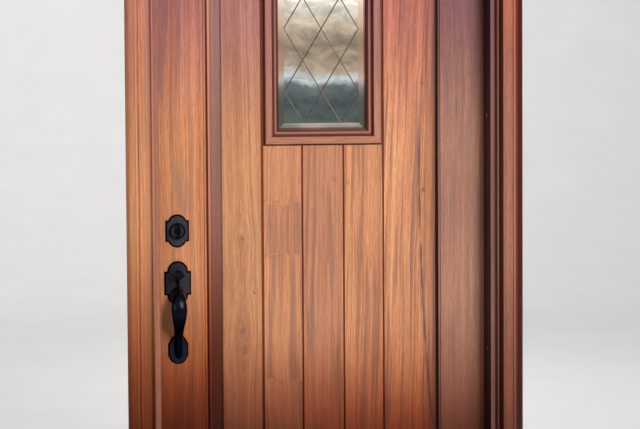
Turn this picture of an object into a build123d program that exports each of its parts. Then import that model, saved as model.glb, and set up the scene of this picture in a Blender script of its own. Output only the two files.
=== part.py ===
from build123d import *
import math
import os

# Panelled front door in its frame, for an opening in a wall.
# Frame of the model: millimetres, +Z up, +Y towards the room, -Y towards the street,
# +X towards the hinges.  Origin: centre of the underside of the sill.

# ------------------------------------------------------------------ driving dimensions
LEAF_W = 914.0            # leaf width (36 in)
LEAF_H = 2032.0           # leaf height (80 in)
LEAF_T = 44.5             # leaf thickness (1 3/4 in)
LEAF_Z0 = 44.0            # underside of the leaf above the underside of the sill
GAP = 3.0                 # gap between leaf edge and rabbet, sides and head

JAMB_D = 116.0            # jamb depth
JAMB_T = 32.0             # jamb thickness at the stop
STOP_H = 12.7             # height of the stop above the rabbet
SEAL_T = 6.0              # space for the compression seal between stop and leaf

CASING_T = 32.0           # casing thickness at its flat
CASING_W = 71.5           # casing width
CASING_SET = 14.2         # jamb edge left showing inside the casing

STILE_W = 138.0           # stiles, edge to inner arris
RAIL_TOP = 117.5          # top rail
RAIL_BOTTOM = 240.0       # bottom rail
BOARD_SINK = 4.0          # board face below the stile face, both sides
V_HALF = 3.0              # half width of a V joint
V_DEEP = 4.5              # depth of a V joint
BOARD_JOINTS = (-278.1, -167.5, -58.6, 55.0, 165.3)   # joint lines between boards, X

LITE_HALF_W = 159.6       # half width of the moulding round the glass
LITE_Z0 = LEAF_Z0 + 1280.5
LITE_H = 627.0
LITE_MOULD = 37.8         # moulding width, outer arris to glass opening
LITE_PROUD = 3.0          # moulding front in front of the stile face
LATTICE_HALF_W = 103.0    # half width of the lattice field
DIAMOND_W = 103.0
DIAMOND_H = 171.4
GLASS_HIDDEN = 11.0       # glass held behind the moulding on each side

LOCK_X = -397.0           # axis of both locks (60 mm backset)
LATCH_Z = LEAF_Z0 + 914.0
BOLT_Z = LATCH_Z + 139.7
CROSS_BORE_R = 27.0
EDGE_BORE_R = 12.7
BOLT_THROW = 25.4
LATCH_THROW = 12.7
GRIP_FOOT_Z = LATCH_Z - 178.0

HINGE_H = 102.0
HINGE_T = 2.8
HINGE_LEAF_D = 32.0
PIN_R = 3.2
BARREL_R = 6.0

# ------------------------------------------------------------------ derived levels
Y_BACK = JAMB_D / 2                  # room side of jambs and leaf
Y_FRONT = -JAMB_D / 2                # street side edge of the jambs
Y_FACE = Y_BACK - LEAF_T             # street face of the leaf
Y_MID = (Y_FACE + Y_BACK) / 2
Y_STOP = Y_FACE - SEAL_T
X_LEAF = LEAF_W / 2
X_RAB = X_LEAF + GAP
X_STOP = X_RAB - STOP_H
X_JAMB = X_STOP + JAMB_T
Z_LEAF1 = LEAF_Z0 + LEAF_H
Z_RAB = Z_LEAF1 + GAP
Z_STOP = Z_RAB - STOP_H
Z_JAMB = Z_STOP + JAMB_T
X_CAS = X_STOP + CASING_SET
Z_CAS = Z_STOP + CASING_SET
X_ARRIS = X_LEAF - STILE_W           # inner arris of the stiles
Y_BOARD = Y_FACE + BOARD_SINK
Y_BOARD_B = Y_BACK - BOARD_SINK
Z_RAIL_B = LEAF_Z0 + RAIL_BOTTOM
Z_RAIL_T = Z_LEAF1 - RAIL_TOP
LITE_Z1 = LITE_Z0 + LITE_H
Y_LITE = Y_FACE - LITE_PROUD
Z_CENTRE_TOP = LITE_Z0 - 3.5
AXIS_X = X_LEAF + GAP / 2            # hinge pin line
AXIS_Y = Y_BACK + BARREL_R + 0.5

OUT = "parts"
os.makedirs(OUT, exist_ok=True)
nodes = {}


def box(x0, x1, y0, y1, z0, z1):
    return Pos((x0 + x1) / 2, (y0 + y1) / 2, (z0 + z1) / 2) * Box(abs(x1 - x0), abs(y1 - y0), abs(z1 - z0))


def cyl_x(r, x0, x1, y, z):
    return Pos((x0 + x1) / 2, y, z) * Rot(0, 90, 0) * Cylinder(r, abs(x1 - x0))


def cyl_y(r, y0, y1, x, z):
    return Pos(x, (y0 + y1) / 2, z) * Rot(90, 0, 0) * Cylinder(r, abs(y1 - y0))


def cyl_z(r, z0, z1, x, y):
    return Pos(x, y, (z0 + z1) / 2) * Cylinder(r, abs(z1 - z0))


def prism(edges, plane, length):
    """Closed outline of edges in a plane, extruded along its normal."""
    return extrude(plane * make_face(edges), amount=length)


def poly(pts):
    """Outline of straight runs; an entry of three points is an arc."""
    out = []
    last = None
    first = None
    for p in pts:
        if isinstance(p[0], tuple):
            a, m, b = p
            if last is not None and (abs(last[0] - a[0]) > 1e-9 or abs(last[1] - a[1]) > 1e-9):
                out.append(Line(last, a))
            if first is None:
                first = a
            out.append(ThreePointArc(a, m, b))
            last = b
        else:
            if last is not None:
                out.append(Line(last, p))
            if first is None:
                first = p
            last = p
    if abs(last[0] - first[0]) > 1e-9 or abs(last[1] - first[1]) > 1e-9:
        out.append(Line(last, first))
    return out


# extrusion along +Z with outline given as (X, Y)
PLAN = Plane.XY
# extrusion along +X with outline given as (Y, Z)
SIDE = Plane(origin=(0, 0, 0), x_dir=(0, 1, 0), z_dir=(1, 0, 0))
# extrusion along +Y with outline given as (X, Z): normal -Y, so lengths are negated
FRONT = Plane(origin=(0, 0, 0), x_dir=(1, 0, 0), z_dir=(0, -1, 0))


def in_plan(pts, z0, z1):
    return Pos(0, 0, z0) * prism(poly(pts), PLAN, z1 - z0)


def in_side(pts, x0, x1):
    return Pos(x0, 0, 0) * prism(poly(pts), SIDE, x1 - x0)


def in_front(pts, y0, y1):
    return Pos(0, y1, 0) * prism(poly(pts), FRONT, y1 - y0)


def mirror_x(shape):
    return mirror(shape, about=Plane.YZ)


# ------------------------------------------------------------------ countersunk wood screws
def screw(pos, direction, length, r=2.2, head_r=4.4, head_h=2.4):
    """Countersunk screw, head flush at pos, shank running along direction."""
    body = Pos(0, 0, length / 2) * Cylinder(r, length)
    head = Pos(0, 0, head_h / 2) * Cone(head_r, r, head_h)
    tip = Pos(0, 0, length) * Cone(r, 0.6, 3.0, align=(Align.CENTER, Align.CENTER, Align.MIN))
    s = body + head + tip
    return Plane(origin=pos, z_dir=direction) * s


def cross_cut(pos, direction, size=3.0):
    """Plain cross recess in a screw head."""
    c = Box(size, 0.8, 2.2) + Box(0.8, size, 2.2)
    return Plane(origin=pos, z_dir=direction) * c


def joined(shapes):
    out = shapes[0]
    for s in shapes[1:]:
        out = out + s
    return out


# ------------------------------------------------------------------ sill
sill_side = [(Y_BACK, 0), (Y_BACK, 35), (Y_BACK - 3, 38), (17, 38), (13, 36.5), (8.5, 30),
             (-88, 14), ((-88, 14), (-93.4, 11.8), (-95, 8)), (-95, 0)]
sill = in_side(sill_side, -X_RAB, X_RAB)
sill -= box(X_STOP, X_RAB + 5, Y_FRONT, Y_STOP, -5, 60)
sill -= box(-X_RAB - 5, -X_STOP, Y_FRONT, Y_STOP, -5, 60)
sill -= box(X_CAS, X_RAB + 5, -120, Y_FRONT, -5, 60)
sill -= box(-X_RAB - 5, -X_CAS, -120, Y_FRONT, -5, 60)
# drip groove under the nosing
sill -= in_side([(-86, 0), ((-86, 0), (-83, 3), (-80, 0))], -X_CAS, X_CAS)

# ------------------------------------------------------------------ jambs
A = 2.0   # small arris
KERF = 2.4


def jamb_section(side):
    """Plan outline of a side jamb, side = +1 hinge side, -1 lock side."""
    s = side
    return [
        (s * X_JAMB, Y_FRONT), (s * X_JAMB, Y_BACK), (s * X_RAB, Y_BACK), (s * X_RAB, Y_STOP),
        (s * (X_STOP + 6.2), Y_STOP), (s * (X_STOP + 6.2), Y_STOP - 9), (s * (X_STOP + 6.2 - KERF), Y_STOP - 9),
        (s * (X_STOP + 6.2 - KERF), Y_STOP), (s * X_STOP, Y_STOP), (s * X_STOP, Y_FRONT + A),
        ((s * X_STOP, Y_FRONT + A), (s * (X_STOP + 0.586), Y_FRONT + 0.586), (s * (X_STOP + A), Y_FRONT)),
    ]


hinge_jamb = in_plan(jamb_section(1), 0, Z_JAMB)
strike_jamb = in_plan(jamb_section(-1), 0, Z_JAMB)

head_side = [
    (Y_FRONT, Z_JAMB), (Y_FRONT, Z_STOP + A),
    ((Y_FRONT, Z_STOP + A), (Y_FRONT + 0.586, Z_STOP + 0.586), (Y_FRONT + A, Z_STOP)),
    (Y_STOP, Z_STOP), (Y_STOP, Z_STOP + 6.2 - KERF), (Y_STOP - 9, Z_STOP + 6.2 - KERF),
    (Y_STOP - 9, Z_STOP + 6.2), (Y_STOP, Z_STOP + 6.2), (Y_STOP, Z_JAMB),
]
head_jamb = in_side(head_side, -X_STOP, X_STOP) + box(-X_RAB, X_RAB, Y_STOP, Y_BACK, Z_RAB, Z_JAMB)

# fixing holes through the side jambs, in the reveal, two pairs a side
FIX_Y = -24.0
FIX_Z = (260.0, 760.0, 1400.0, 1900.0)
FIX_R = 2.75
for z in FIX_Z:
    for s, which in ((1, "h"), (-1, "s")):
        hole = cyl_x(FIX_R, s * (X_STOP - 5), s * (X_JAMB + 5), FIX_Y, z)
        sink = Plane(origin=(s * X_STOP, FIX_Y, z), z_dir=(s, 0, 0)) * (
            Pos(0, 0, 0) * Cone(5.4, FIX_R, 3.4, align=(Align.CENTER, Align.CENTER, Align.MIN)))
        if s > 0:
            hinge_jamb = hinge_jamb - hole - sink
        else:
            strike_jamb = strike_jamb - hole - sink

# ------------------------------------------------------------------ casing
T = CASING_T


def casing_profile():
    """(w, h): w from the inner arris outwards, h in front of the jamb edge."""
    return [
        (0, 0), (0, 12.6), ((0, 12.6), (3.0, 15.6), (6.0, 12.6)), (6.0, 11.6), (7.2, 11.6),
        ((7.2, 11.6), (8.6, 22.6), (12.4, 30.4)), (12.4, T), (38.0, T), (38.0, T - 3.0), (39.6, T - 3.0),
        ((39.6, T - 3.0), (43.5, T + 0.9), (47.4, T - 3.0)), (47.4, T - 4.2),
        ((47.4, T - 4.2), (62.0, T - 8.4), (CASING_W, T - 18.0)), (CASING_W, 0),
    ]


def casing_pts(fx):
    out = []
    for p in casing_profile():
        if isinstance(p[0], tuple):
            out.append(tuple(fx(*q) for q in p))
        else:
            out.append(fx(*p))
    return out


X_CAS1 = X_CAS + CASING_W
Z_CAS1 = Z_CAS + CASING_W
hinge_side_casing = in_plan(casing_pts(lambda w, h: (X_CAS + w, Y_FRONT - h)), 0, Z_CAS1)
lock_side_casing = in_plan(casing_pts(lambda w, h: (-X_CAS - w, Y_FRONT - h)), 0, Z_CAS1)
head_casing = in_side(casing_pts(lambda w, h: (Y_FRONT - h, Z_CAS + w)), -X_CAS1, X_CAS1)
# mitres through the inner and outer corners
m = 400.0
cut_r = in_front([(X_CAS - m, Z_CAS - m), (X_CAS + m, Z_CAS + m), (X_CAS - m, Z_CAS + m)], -140, 0)
cut_l = in_front([(-X_CAS + m, Z_CAS - m), (-X_CAS - m, Z_CAS + m), (-X_CAS + m, Z_CAS + m)], -140, 0)
low_r = in_front([(X_CAS - m, Z_CAS - m), (X_CAS + m, Z_CAS + m), (X_CAS + m, Z_CAS - m)], -140, 0)
low_l = in_front([(-X_CAS + m, Z_CAS - m), (-X_CAS - m, Z_CAS + m), (-X_CAS - m, Z_CAS - m)], -140, 0)
hinge_side_casing -= cut_r
lock_side_casing -= cut_l
head_casing = head_casing - low_r - low_l

# ------------------------------------------------------------------ seals round the stop
B0 = Y_STOP + 0.0
B1 = Y_FACE - 0.3


def seal_section(s):
    x0 = s * (X_STOP + 0.4)
    x1 = s * (X_STOP + 10.2)
    xm = s * (X_STOP + 5.3)
    k0 = s * (X_STOP + 6.2 - KERF)
    k1 = s * (X_STOP + 6.2)
    return [
        (x0, B0 + 1.2), ((x0, B0 + 1.2), (xm, B1), (x1, B0 + 1.2)), (x1, B0), (k1, B0), (k1, B0 - 8.4),
        (k0, B0 - 8.4), (k0, B0), (x0, B0),
    ]


SEAL_Z0 = 38.5
hinge_side_seal = in_plan(seal_section(1), SEAL_Z0, Z_STOP)
lock_side_seal = in_plan(seal_section(-1), SEAL_Z0, Z_STOP)
zc = Z_STOP
head_seal = in_side([
    (B0 + 1.2, zc + 0.4), ((B0 + 1.2, zc + 0.4), (B1, zc + 5.3), (B0 + 1.2, zc + 10.2)), (B0, zc + 10.2),
    (B0, zc + 6.2), (B0 - 8.4, zc + 6.2), (B0 - 8.4, zc + 6.2 - KERF), (B0, zc + 6.2 - KERF), (B0, zc + 0.4)],
    -X_STOP, X_STOP)

# ------------------------------------------------------------------ leaf: stiles and rails
Y_LIP = Y_FACE + 9.0        # floor of the groove beside the stile bead
Y_LIP_B = Y_BACK - 9.0
TG0, TG1 = Y_MID - 4.25, Y_MID + 4.25
TONGUE = 8.0


def stile_section(s):
    xa = X_ARRIS
    return [
        (s * X_LEAF, Y_FACE), (s * (xa + 6.9), Y_FACE), (s * (xa + 6.9), Y_FACE + 2.4), (s * (xa + 5.7), Y_FACE + 2.7),
        ((s * (xa + 5.7), Y_FACE + 2.7), (s * (xa + 2.9), Y_FACE), (s * (xa + 0.1), Y_FACE + 2.7)),
        (s * xa, Y_FACE + 3.0), (s * xa, TG0), (s * (xa + TONGUE + 0.5), TG0), (s * (xa + TONGUE + 0.5), TG1), (s * xa, TG1),
        (s * xa, Y_BACK - 3.0), (s * (xa + 3.0), Y_BACK), (s * X_LEAF, Y_BACK),
    ]


lock_stile = in_plan(stile_section(-1), LEAF_Z0, Z_LEAF1)
hinge_stile = in_plan(stile_section(1), LEAF_Z0, Z_LEAF1)

TEN = 30.0                      # tenon length
TEN0, TEN1 = Y_MID - 6.5, Y_MID + 6.5


def rail(z0, z1, up):
    """Rail between the stiles; up = +1 when the boards are above it."""
    ze = z1 if up > 0 else z0
    zo = z0 if up > 0 else z1
    pts = [(Y_FACE, zo), (Y_FACE, ze - up * 3.0), (Y_FACE + 3.0, ze), (TG0, ze), (TG0, ze - up * (TONGUE + 0.5)),
           (TG1, ze - up * (TONGUE + 0.5)), (TG1, ze), (Y_BACK - 3.0, ze), (Y_BACK, ze - up * 3.0), (Y_BACK, zo)]
    r = in_side(pts, -X_ARRIS, X_ARRIS)
    za, zb = sorted((zo + up * 22.0, ze - up * 24.0))
    r += box(-X_ARRIS - TEN, -X_ARRIS, TEN0, TEN1, za, zb)
    r += box(X_ARRIS, X_ARRIS + TEN, TEN0, TEN1, za, zb)
    return r, (za, zb)


bottom_rail, (bz0, bz1) = rail(LEAF_Z0, Z_RAIL_B, 1)
top_rail, (tz0, tz1) = rail(Z_RAIL_T, Z_LEAF1, -1)
for z0, z1 in ((bz0, bz1), (tz0, tz1)):
    lock_stile -= box(-X_ARRIS - TEN, -X_ARRIS + 1, TEN0, TEN1, z0, z1)
    hinge_stile -= box(X_ARRIS - 1, X_ARRIS + TEN, TEN0, TEN1, z0, z1)


# ------------------------------------------------------------------ leaf: boards
def board(x0, x1, z0, z1, left, right, v_left=V_HALF, v_right=V_HALF):
    """Upright board, full thickness of the panel, tongued and grooved on its edges."""
    pts = []
    # street side, left to right
    if left == "lip":
        pts += [(x0, Y_LIP), (x0 + 5.6, Y_LIP), (x0 + 5.6, Y_BOARD + 1.0), (x0 + 6.6, Y_BOARD)]
    else:
        pts += [(x0, Y_BOARD + V_DEEP), (x0 + v_left, Y_BOARD)]
    if right == "lip":
        pts += [(x1 - 6.6, Y_BOARD), (x1 - 5.6, Y_BOARD + 1.0), (x1 - 5.6, Y_LIP), (x1, Y_LIP)]
    else:
        pts += [(x1 - v_right, Y_BOARD), (x1, Y_BOARD + V_DEEP)]
    # right edge down to the room side
    if right in ("lip", "tongue"):
        pts += [(x1, TG0), (x1 + TONGUE, TG0), (x1 + TONGUE, TG1), (x1, TG1)]
    pts += [(x1, Y_BOARD_B - 3.0), (x1 - 3.0, Y_BOARD_B), (x0 + 3.0, Y_BOARD_B), (x0, Y_BOARD_B - 3.0)]
    if left == "lip":
        pts += [(x0, TG1), (x0 - TONGUE, TG1), (x0 - TONGUE, TG0), (x0, TG0)]
    elif left == "groove":
        pts += [(x0, TG1), (x0 + TONGUE + 0.5, TG1), (x0 + TONGUE + 0.5, TG0), (x0, TG0)]
    return in_plan(pts, z0, z1)


def end_tongue(x0, x1, z, up):
    """Tongue at a board's end that enters the rail."""
    return box(x0, x1, TG0, TG1, min(z, z + up * TONGUE), max(z, z + up * TONGUE))


J1, J2, J3, J4, J5 = BOARD_JOINTS
zb0, zb1 = Z_RAIL_B, Z_RAIL_T
narrow_board = board(-X_ARRIS, J1, zb0, zb1, "lip", "tongue", v_right=2.6)
# raised fillet along the narrow board's outer edge
narrow_board += in_plan([(-X_ARRIS + 5.6, Y_BOARD + 2.0), (-X_ARRIS + 5.6, Y_BOARD - 1.0), (-X_ARRIS + 6.4, Y_BOARD - 1.8),
                         (-X_ARRIS + 10.2, Y_BOARD - 1.8), (-X_ARRIS + 13.4, Y_BOARD), (-X_ARRIS + 13.4, Y_BOARD + 2.0)], zb0, zb1)
left_plank = board(J1, J2, zb0, zb1, "groove", "tongue", v_left=2.6, v_right=4.2)
left_plank -= box(J2, J2 + 20, Y_FACE - 5, Y_BACK + 5, Z_CENTRE_TOP, zb1 + 5)
right_plank = board(J5, X_ARRIS, zb0, zb1, "groove", "lip")
centre_left_plank = board(J2, J3, zb0, Z_CENTRE_TOP, "groove", "tongue", v_left=4.2)
centre_middle_plank = board(J3, J4, zb0, Z_CENTRE_TOP, "groove", "tongue")
centre_right_plank = board(J4, J5, zb0, Z_CENTRE_TOP, "groove", "tongue")

narrow_board += end_tongue(-X_ARRIS + 2, J1 - 2, zb0, -1) + end_tongue(-X_ARRIS + 2, J1 - 2, zb1, 1)
left_plank += end_tongue(J1 + 10, J2 - 2, zb0, -1) + end_tongue(J1 + 10, J2 - 2, zb1, 1)
right_plank += end_tongue(J5 + 10, X_ARRIS - 2, zb0, -1) + end_tongue(J5 + 10, X_ARRIS - 2, zb1, 1)
centre_left_plank += end_tongue(J2 + 10, J3 - 2, zb0, -1)
centre_middle_plank += end_tongue(J3 + 10, J4 - 2, zb0, -1)
centre_right_plank += end_tongue(J4 + 10, J5 - 2, zb0, -1)

# ------------------------------------------------------------------ glazed light: mouldings
Y_GLASS = Y_LITE + 18.5              # street face of the outer pane
PANE_T = 4.0
SPACER_T = 9.0
LATTICE_T = 5.0
Y_LAT = Y_GLASS + PANE_T + SPACER_T  # street face of the lattice pane
Y_GB = Y_LAT + LATTICE_T             # room face of the sealed unit
Y_LITE_B = Y_BACK + LITE_PROUD
U_GLASS = LITE_MOULD - GLASS_HIDDEN - 1.0


def mould_front(b):
    """(u, y): u from the outer arris towards the glass."""
    y = Y_LITE
    return [
        (-b, Y_GB), (-b, y + 11.0), (0, y + 11.0), (0, y + 1.2), (1.2, y), (18.8, y),
        ((18.8, y), (19.8, y + 0.4), (20.2, y + 1.4)), (20.2, y + 7.5), ((20.2, y + 7.5), (21.6, y + 11.8), (25.0, y + 13.6)),
        (26.0, y + 13.6), (26.0, y + 15.2), ((26.0, y + 15.2), (29.5, y + 11.7), (33.0, y + 15.2)), (33.0, y + 16.2),
        (LITE_MOULD, y + 17.3), (LITE_MOULD, Y_GLASS), (U_GLASS, Y_GLASS), (U_GLASS, Y_GB),
    ]


def mould_back(b):
    y = Y_LITE_B
    return [
        (-b, Y_GB), (-b, y - 11.0), (0, y - 11.0), (0, y - 1.2), (1.2, y), (19.2, y), (20.0, y - 0.8), (20.0, y - 4.2),
        (23.8, y - 4.2), (23.8, y - 3.7), ((23.8, y - 3.7), (27.3, y - 0.4), (30.8, y - 3.7)), (30.8, y - 5.2),
        ((30.8, y - 5.2), (34.6, y - 9.6), (LITE_MOULD, y - 11.6)), (LITE_MOULD, Y_GB),
    ]


def mould_set(section):
    xl, xr = -LITE_HALF_W, LITE_HALF_W
    z0, z1 = LITE_Z0, LITE_Z1

    def mapped(b, fx):
        return [tuple(fx(*q) for q in p) if isinstance(p[0], tuple) else fx(*p) for p in section(b)]

    bl, br, bb, bt = J2 - xl, J5 - xr, z0 - Z_CENTRE_TOP, Z_RAIL_T - z1
    left = in_plan(mapped(-bl, lambda u, y: (xl + u, y)), z0 - 20, z1 + 20)
    right = in_plan(mapped(br, lambda u, y: (xr - u, y)), z0 - 20, z1 + 20)
    bottom = in_side(mapped(bb, lambda u, y: (y, z0 + u)), xl - 20, xr + 20)
    top = in_side(mapped(bt, lambda u, y: (y, z1 - u)), xl - 20, xr + 20)
    ya, yb = -10, Y_BACK + 20
    k = 160.0
    # wedges that part the four members along their mitres
    wl = in_front([(xl - 40, z0 - 40), (xl + k, z0 + k), (xl + k, z1 - k), (xl - 40, z1 + 40)], ya, yb)
    wr = in_front([(xr + 40, z0 - 40), (xr - k, z0 + k), (xr - k, z1 - k), (xr + 40, z1 + 40)], ya, yb)
    wb = in_front([(xl - 40, z0 - 40), (xl + k, z0 + k), (xr - k, z0 + k), (xr + 40, z0 - 40)], ya, yb)
    wt = in_front([(xl - 40, z1 + 40), (xl + k, z1 - k), (xr - k, z1 - k), (xr + 40, z1 + 40)], ya, yb)
    lim = box(J2, J5, ya, yb, Z_CENTRE_TOP, Z_RAIL_T)
    return [left & wl & lim, right & wr & lim, bottom & wb & lim, top & wt & lim]


lite_left, lite_right, lite_bottom, lite_top = mould_set(mould_front)
inner_lite_left, inner_lite_right, inner_lite_bottom, inner_lite_top = mould_set(mould_back)

# ------------------------------------------------------------------ glazed light: sealed unit
GX = LITE_HALF_W - LITE_MOULD + GLASS_HIDDEN
GZ0 = LITE_Z0 + LITE_MOULD - GLASS_HIDDEN
GZ1 = LITE_Z1 - LITE_MOULD + GLASS_HIDDEN
outer_pane = box(-GX, GX, Y_GLASS, Y_GLASS + PANE_T, GZ0, GZ1)
sp = 6.5
glass_spacer = box(-GX, GX, Y_GLASS + PANE_T, Y_LAT, GZ0, GZ1) - box(-GX + sp, GX - sp, 0, 100, GZ0 + sp, GZ1 - sp)

LX = LATTICE_HALF_W
LZC = (LITE_Z0 + LITE_Z1) / 2
LZH = 1.5 * DIAMOND_H
lattice_pane = box(-GX, GX, Y_LAT, Y_GB, GZ0, GZ1)
# wide bevel all round: the face falls towards the edge, 17 mm of it in view
BEV = 1.9
for s in (1, -1):
    run = GX - LX
    lattice_pane -= in_plan([(s * LX, Y_LAT), (s * (GX + 1), Y_LAT + BEV * (run + 1) / run), (s * (GX + 1), Y_LAT - 1), (s * LX, Y_LAT - 1)],
                            GZ0 - 1, GZ1 + 1)
    ze = LZC + s * LZH
    zo = (GZ1 if s > 0 else GZ0) + s
    runz = abs(zo - ze)
    lattice_pane -= in_side([(Y_LAT, ze), (Y_LAT + BEV, zo), (Y_LAT - 1, zo), (Y_LAT - 1, ze)], -GX - 1, GX + 1)
# V-cut lattice of tall diamonds
slope = DIAMOND_H / DIAMOND_W
ang = math.degrees(math.atan2(DIAMOND_H, DIAMOND_W))
field = box(-LX, LX, Y_LAT - 2, Y_LAT + 2, LZC - LZH, LZC + LZH)
VW, VD = 1.6, 1.1
for i in range(-3, 2):
    xa = -DIAMOND_W / 2 + DIAMOND_W * i
    a = (max(-LX, xa), 0.0)
    a = (a[0], (a[0] - xa) * slope)
    b = (min(LX, xa + 2 * LZH / slope), 0.0)
    b = (b[0], (b[0] - xa) * slope)
    mx, mz = (a[0] + b[0]) / 2, (a[1] + b[1]) / 2 + LZC - LZH
    ln = math.hypot(b[0] - a[0], b[1] - a[1]) + 30
    for mir in (1, -1):
        v = prism(poly([(0, VD), (-VW, -0.02), (-VW, -1.5), (VW, -1.5), (VW, -0.02)]),
                  Plane(origin=(0, 0, 0), x_dir=(0, 0, 1), z_dir=(1, 0, 0)), ln)
        # v runs along +X, opening towards -Y; its outline x is Z and outline y is -Y
        v = Pos(-ln / 2, 0, 0) * v
        v = mirror(v, about=Plane.XZ)
        v = Rot(0, -ang * mir, 0) * v
        v = Pos(mx * mir, Y_LAT, mz) * v
        lattice_pane -= (v & field)

# ------------------------------------------------------------------ door sweep under the leaf
door_sweep = in_side([(20, LEAF_Z0), (20, 41.5), (21.5, 38.6), (23, 41), (33, 41), (34.5, 38.6), (36, 41), (47, 41), (48.5, 38.6),
                      (50, 41.5), (50, LEAF_Z0)], -X_LEAF + 2, X_LEAF - 2)

# ------------------------------------------------------------------ hinges
HINGES = (("upper", Z_LEAF1 - 178.0 - HINGE_H / 2), ("middle", 0.0), ("lower", LEAF_Z0 + 279.0 + HINGE_H / 2))
HINGES = (HINGES[0], ("middle", (HINGES[0][1] + HINGES[2][1]) / 2), HINGES[2])
frame_screw_solids = []
leaf_screw_solids = []
pin_solids = []
HOLES = ((-38.0, 35.5), (-13.0, 46.0), (13.0, 46.0), (38.0, 35.5))
Y_PLATE0 = Y_BACK - HINGE_LEAF_D
KN = HINGE_H / 5


def knuckle_range(zc, i):
    return zc - HINGE_H / 2 + i * KN + (0.2 if i else 0.0), zc - HINGE_H / 2 + (i + 1) * KN - (0.2 if i < 4 else 0.0)


for name, zc in HINGES:
    z0, z1 = zc - HINGE_H / 2, zc + HINGE_H / 2
    fx0, fx1 = X_RAB, X_RAB + HINGE_T
    lx0, lx1 = X_LEAF - HINGE_T, X_LEAF
    fplate = box(fx0, fx1, Y_PLATE0, Y_BACK - 0.5, z0, z1)
    lplate = box(lx0, lx1, Y_PLATE0, Y_BACK - 0.5, z0, z1)
    hinge_jamb -= box(fx0 - 1, fx1, Y_PLATE0, Y_BACK + 1, z0, z1)
    hinge_stile -= box(lx0, lx1 + 1, Y_PLATE0, Y_BACK + 1, z0, z1)
    for i in range(5):
        a, b = knuckle_range(zc, i)
        ring = cyl_z(BARREL_R, a, b, AXIS_X, AXIS_Y)
        if i % 2 == 0:
            fplate += ring + box(fx0, fx1, Y_BACK - 0.6, AXIS_Y - 2.4, a, b)
        else:
            lplate += ring + box(lx0, lx1, Y_BACK - 0.6, AXIS_Y - 2.4, a, b)
    bore = cyl_z(PIN_R + 0.05, z0 - 5, z1 + 5, AXIS_X, AXIS_Y)
    fplate -= bore
    lplate -= bore
    for dz, y in HOLES:
        fs = screw((fx0, y, zc + dz), (1, 0, 0), 15.0)
        ls = screw((lx1, y, zc + dz), (-1, 0, 0), 28.0)
        fplate -= fs
        hinge_jamb -= fs
        lplate -= ls
        hinge_stile -= ls
        frame_screw_solids.append(fs - cross_cut((fx0, y, zc + dz), (1, 0, 0)))
        leaf_screw_solids.append(ls - cross_cut((lx1, y, zc + dz), (-1, 0, 0)))
    pin = cyl_z(PIN_R, z0 - 0.3, z1 + 0.3, AXIS_X, AXIS_Y)
    for sgn, ze in ((1, z1 + 0.3), (-1, z0 - 0.3)):
        tip = cyl_z(5.2, min(ze, ze + sgn * 2.4), max(ze, ze + sgn * 2.4), AXIS_X, AXIS_Y)
        ball = Pos(AXIS_X, AXIS_Y, ze + sgn * 4.6) * Sphere(3.6)
        pin += tip + ball
    pin_solids.append(pin)
    nodes[name + "_hinge_frame_plate"] = fplate
    nodes[name + "_hinge_leaf_plate"] = lplate

# ------------------------------------------------------------------ strike plates
latch_strike_plate = box(-X_RAB - 2.2, -X_RAB, Y_MID - 14.3, Y_BACK, LATCH_Z - 34.9, LATCH_Z + 34.9)
latch_strike_plate -= box(-X_RAB - 10, -X_RAB + 5, Y_BACK - 6, Y_BACK + 5, LATCH_Z + 16, LATCH_Z + 60)
latch_strike_plate -= box(-X_RAB - 10, -X_RAB + 5, Y_BACK - 6, Y_BACK + 5, LATCH_Z - 60, LATCH_Z - 16)
lip_pts = [(-X_RAB, Y_BACK - 0.5), (-X_RAB, Y_BACK), ((-X_RAB, Y_BACK), (-X_RAB - 1.6, Y_BACK + 3.6), (-X_RAB - 5.0, Y_BACK + 5.0)),
           (-X_RAB - 5.0, Y_BACK + 2.8), ((-X_RAB - 5.0, Y_BACK + 2.8), (-X_RAB - 3.1, Y_BACK + 2.0), (-X_RAB - 2.2, Y_BACK)),
           (-X_RAB - 2.2, Y_BACK - 0.5)]
latch_strike_plate += in_plan(lip_pts, LATCH_Z - 16, LATCH_Z + 16)
latch_hole = box(-X_RAB - 2.2 - 14.5, -X_RAB + 3, Y_MID - 7.2, Y_MID + 7.2, LATCH_Z - 10.5, LATCH_Z + 10.5)
latch_strike_plate -= latch_hole
deadbolt_strike_plate = box(-X_RAB - 2.2, -X_RAB, Y_MID - 14.3, Y_MID + 14.3, BOLT_Z - 34.9, BOLT_Z + 34.9)
bolt_hole = cyl_x(9.9, -X_JAMB - 5, -X_RAB + 3, Y_MID, BOLT_Z)
deadbolt_strike_plate -= bolt_hole
strike_jamb = strike_jamb - latch_strike_plate - latch_hole - bolt_hole
strike_jamb -= box(-X_RAB - 2.2, -X_RAB + 1, Y_MID - 14.3, Y_BACK + 1, LATCH_Z - 16, LATCH_Z + 16)
strike_jamb -= box(-X_RAB - 2.2, -X_RAB + 1, Y_MID - 14.3, Y_BACK - 6, LATCH_Z - 34.9, LATCH_Z + 34.9)
strike_jamb -= box(-X_RAB - 2.2, -X_RAB + 1, Y_MID - 14.3, Y_MID + 14.3, BOLT_Z - 34.9, BOLT_Z + 34.9)
# the lip of the latch plate curls round the jamb's room-side arris
strike_jamb -= box(-X_RAB - 5.4, -X_RAB - 2.0, Y_BACK - 1.0, Y_BACK + 1, LATCH_Z - 16, LATCH_Z + 16)
for zc in (LATCH_Z, BOLT_Z):
    for dz in (-24.0, 24.0):
        fs = screw((-X_RAB, Y_MID, zc + dz), (-1, 0, 0), 15.0)
        latch_strike_plate -= fs
        deadbolt_strike_plate -= fs
        strike_jamb -= fs
        frame_screw_solids.append(fs - cross_cut((-X_RAB, Y_MID, zc + dz), (-1, 0, 0)))

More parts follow.
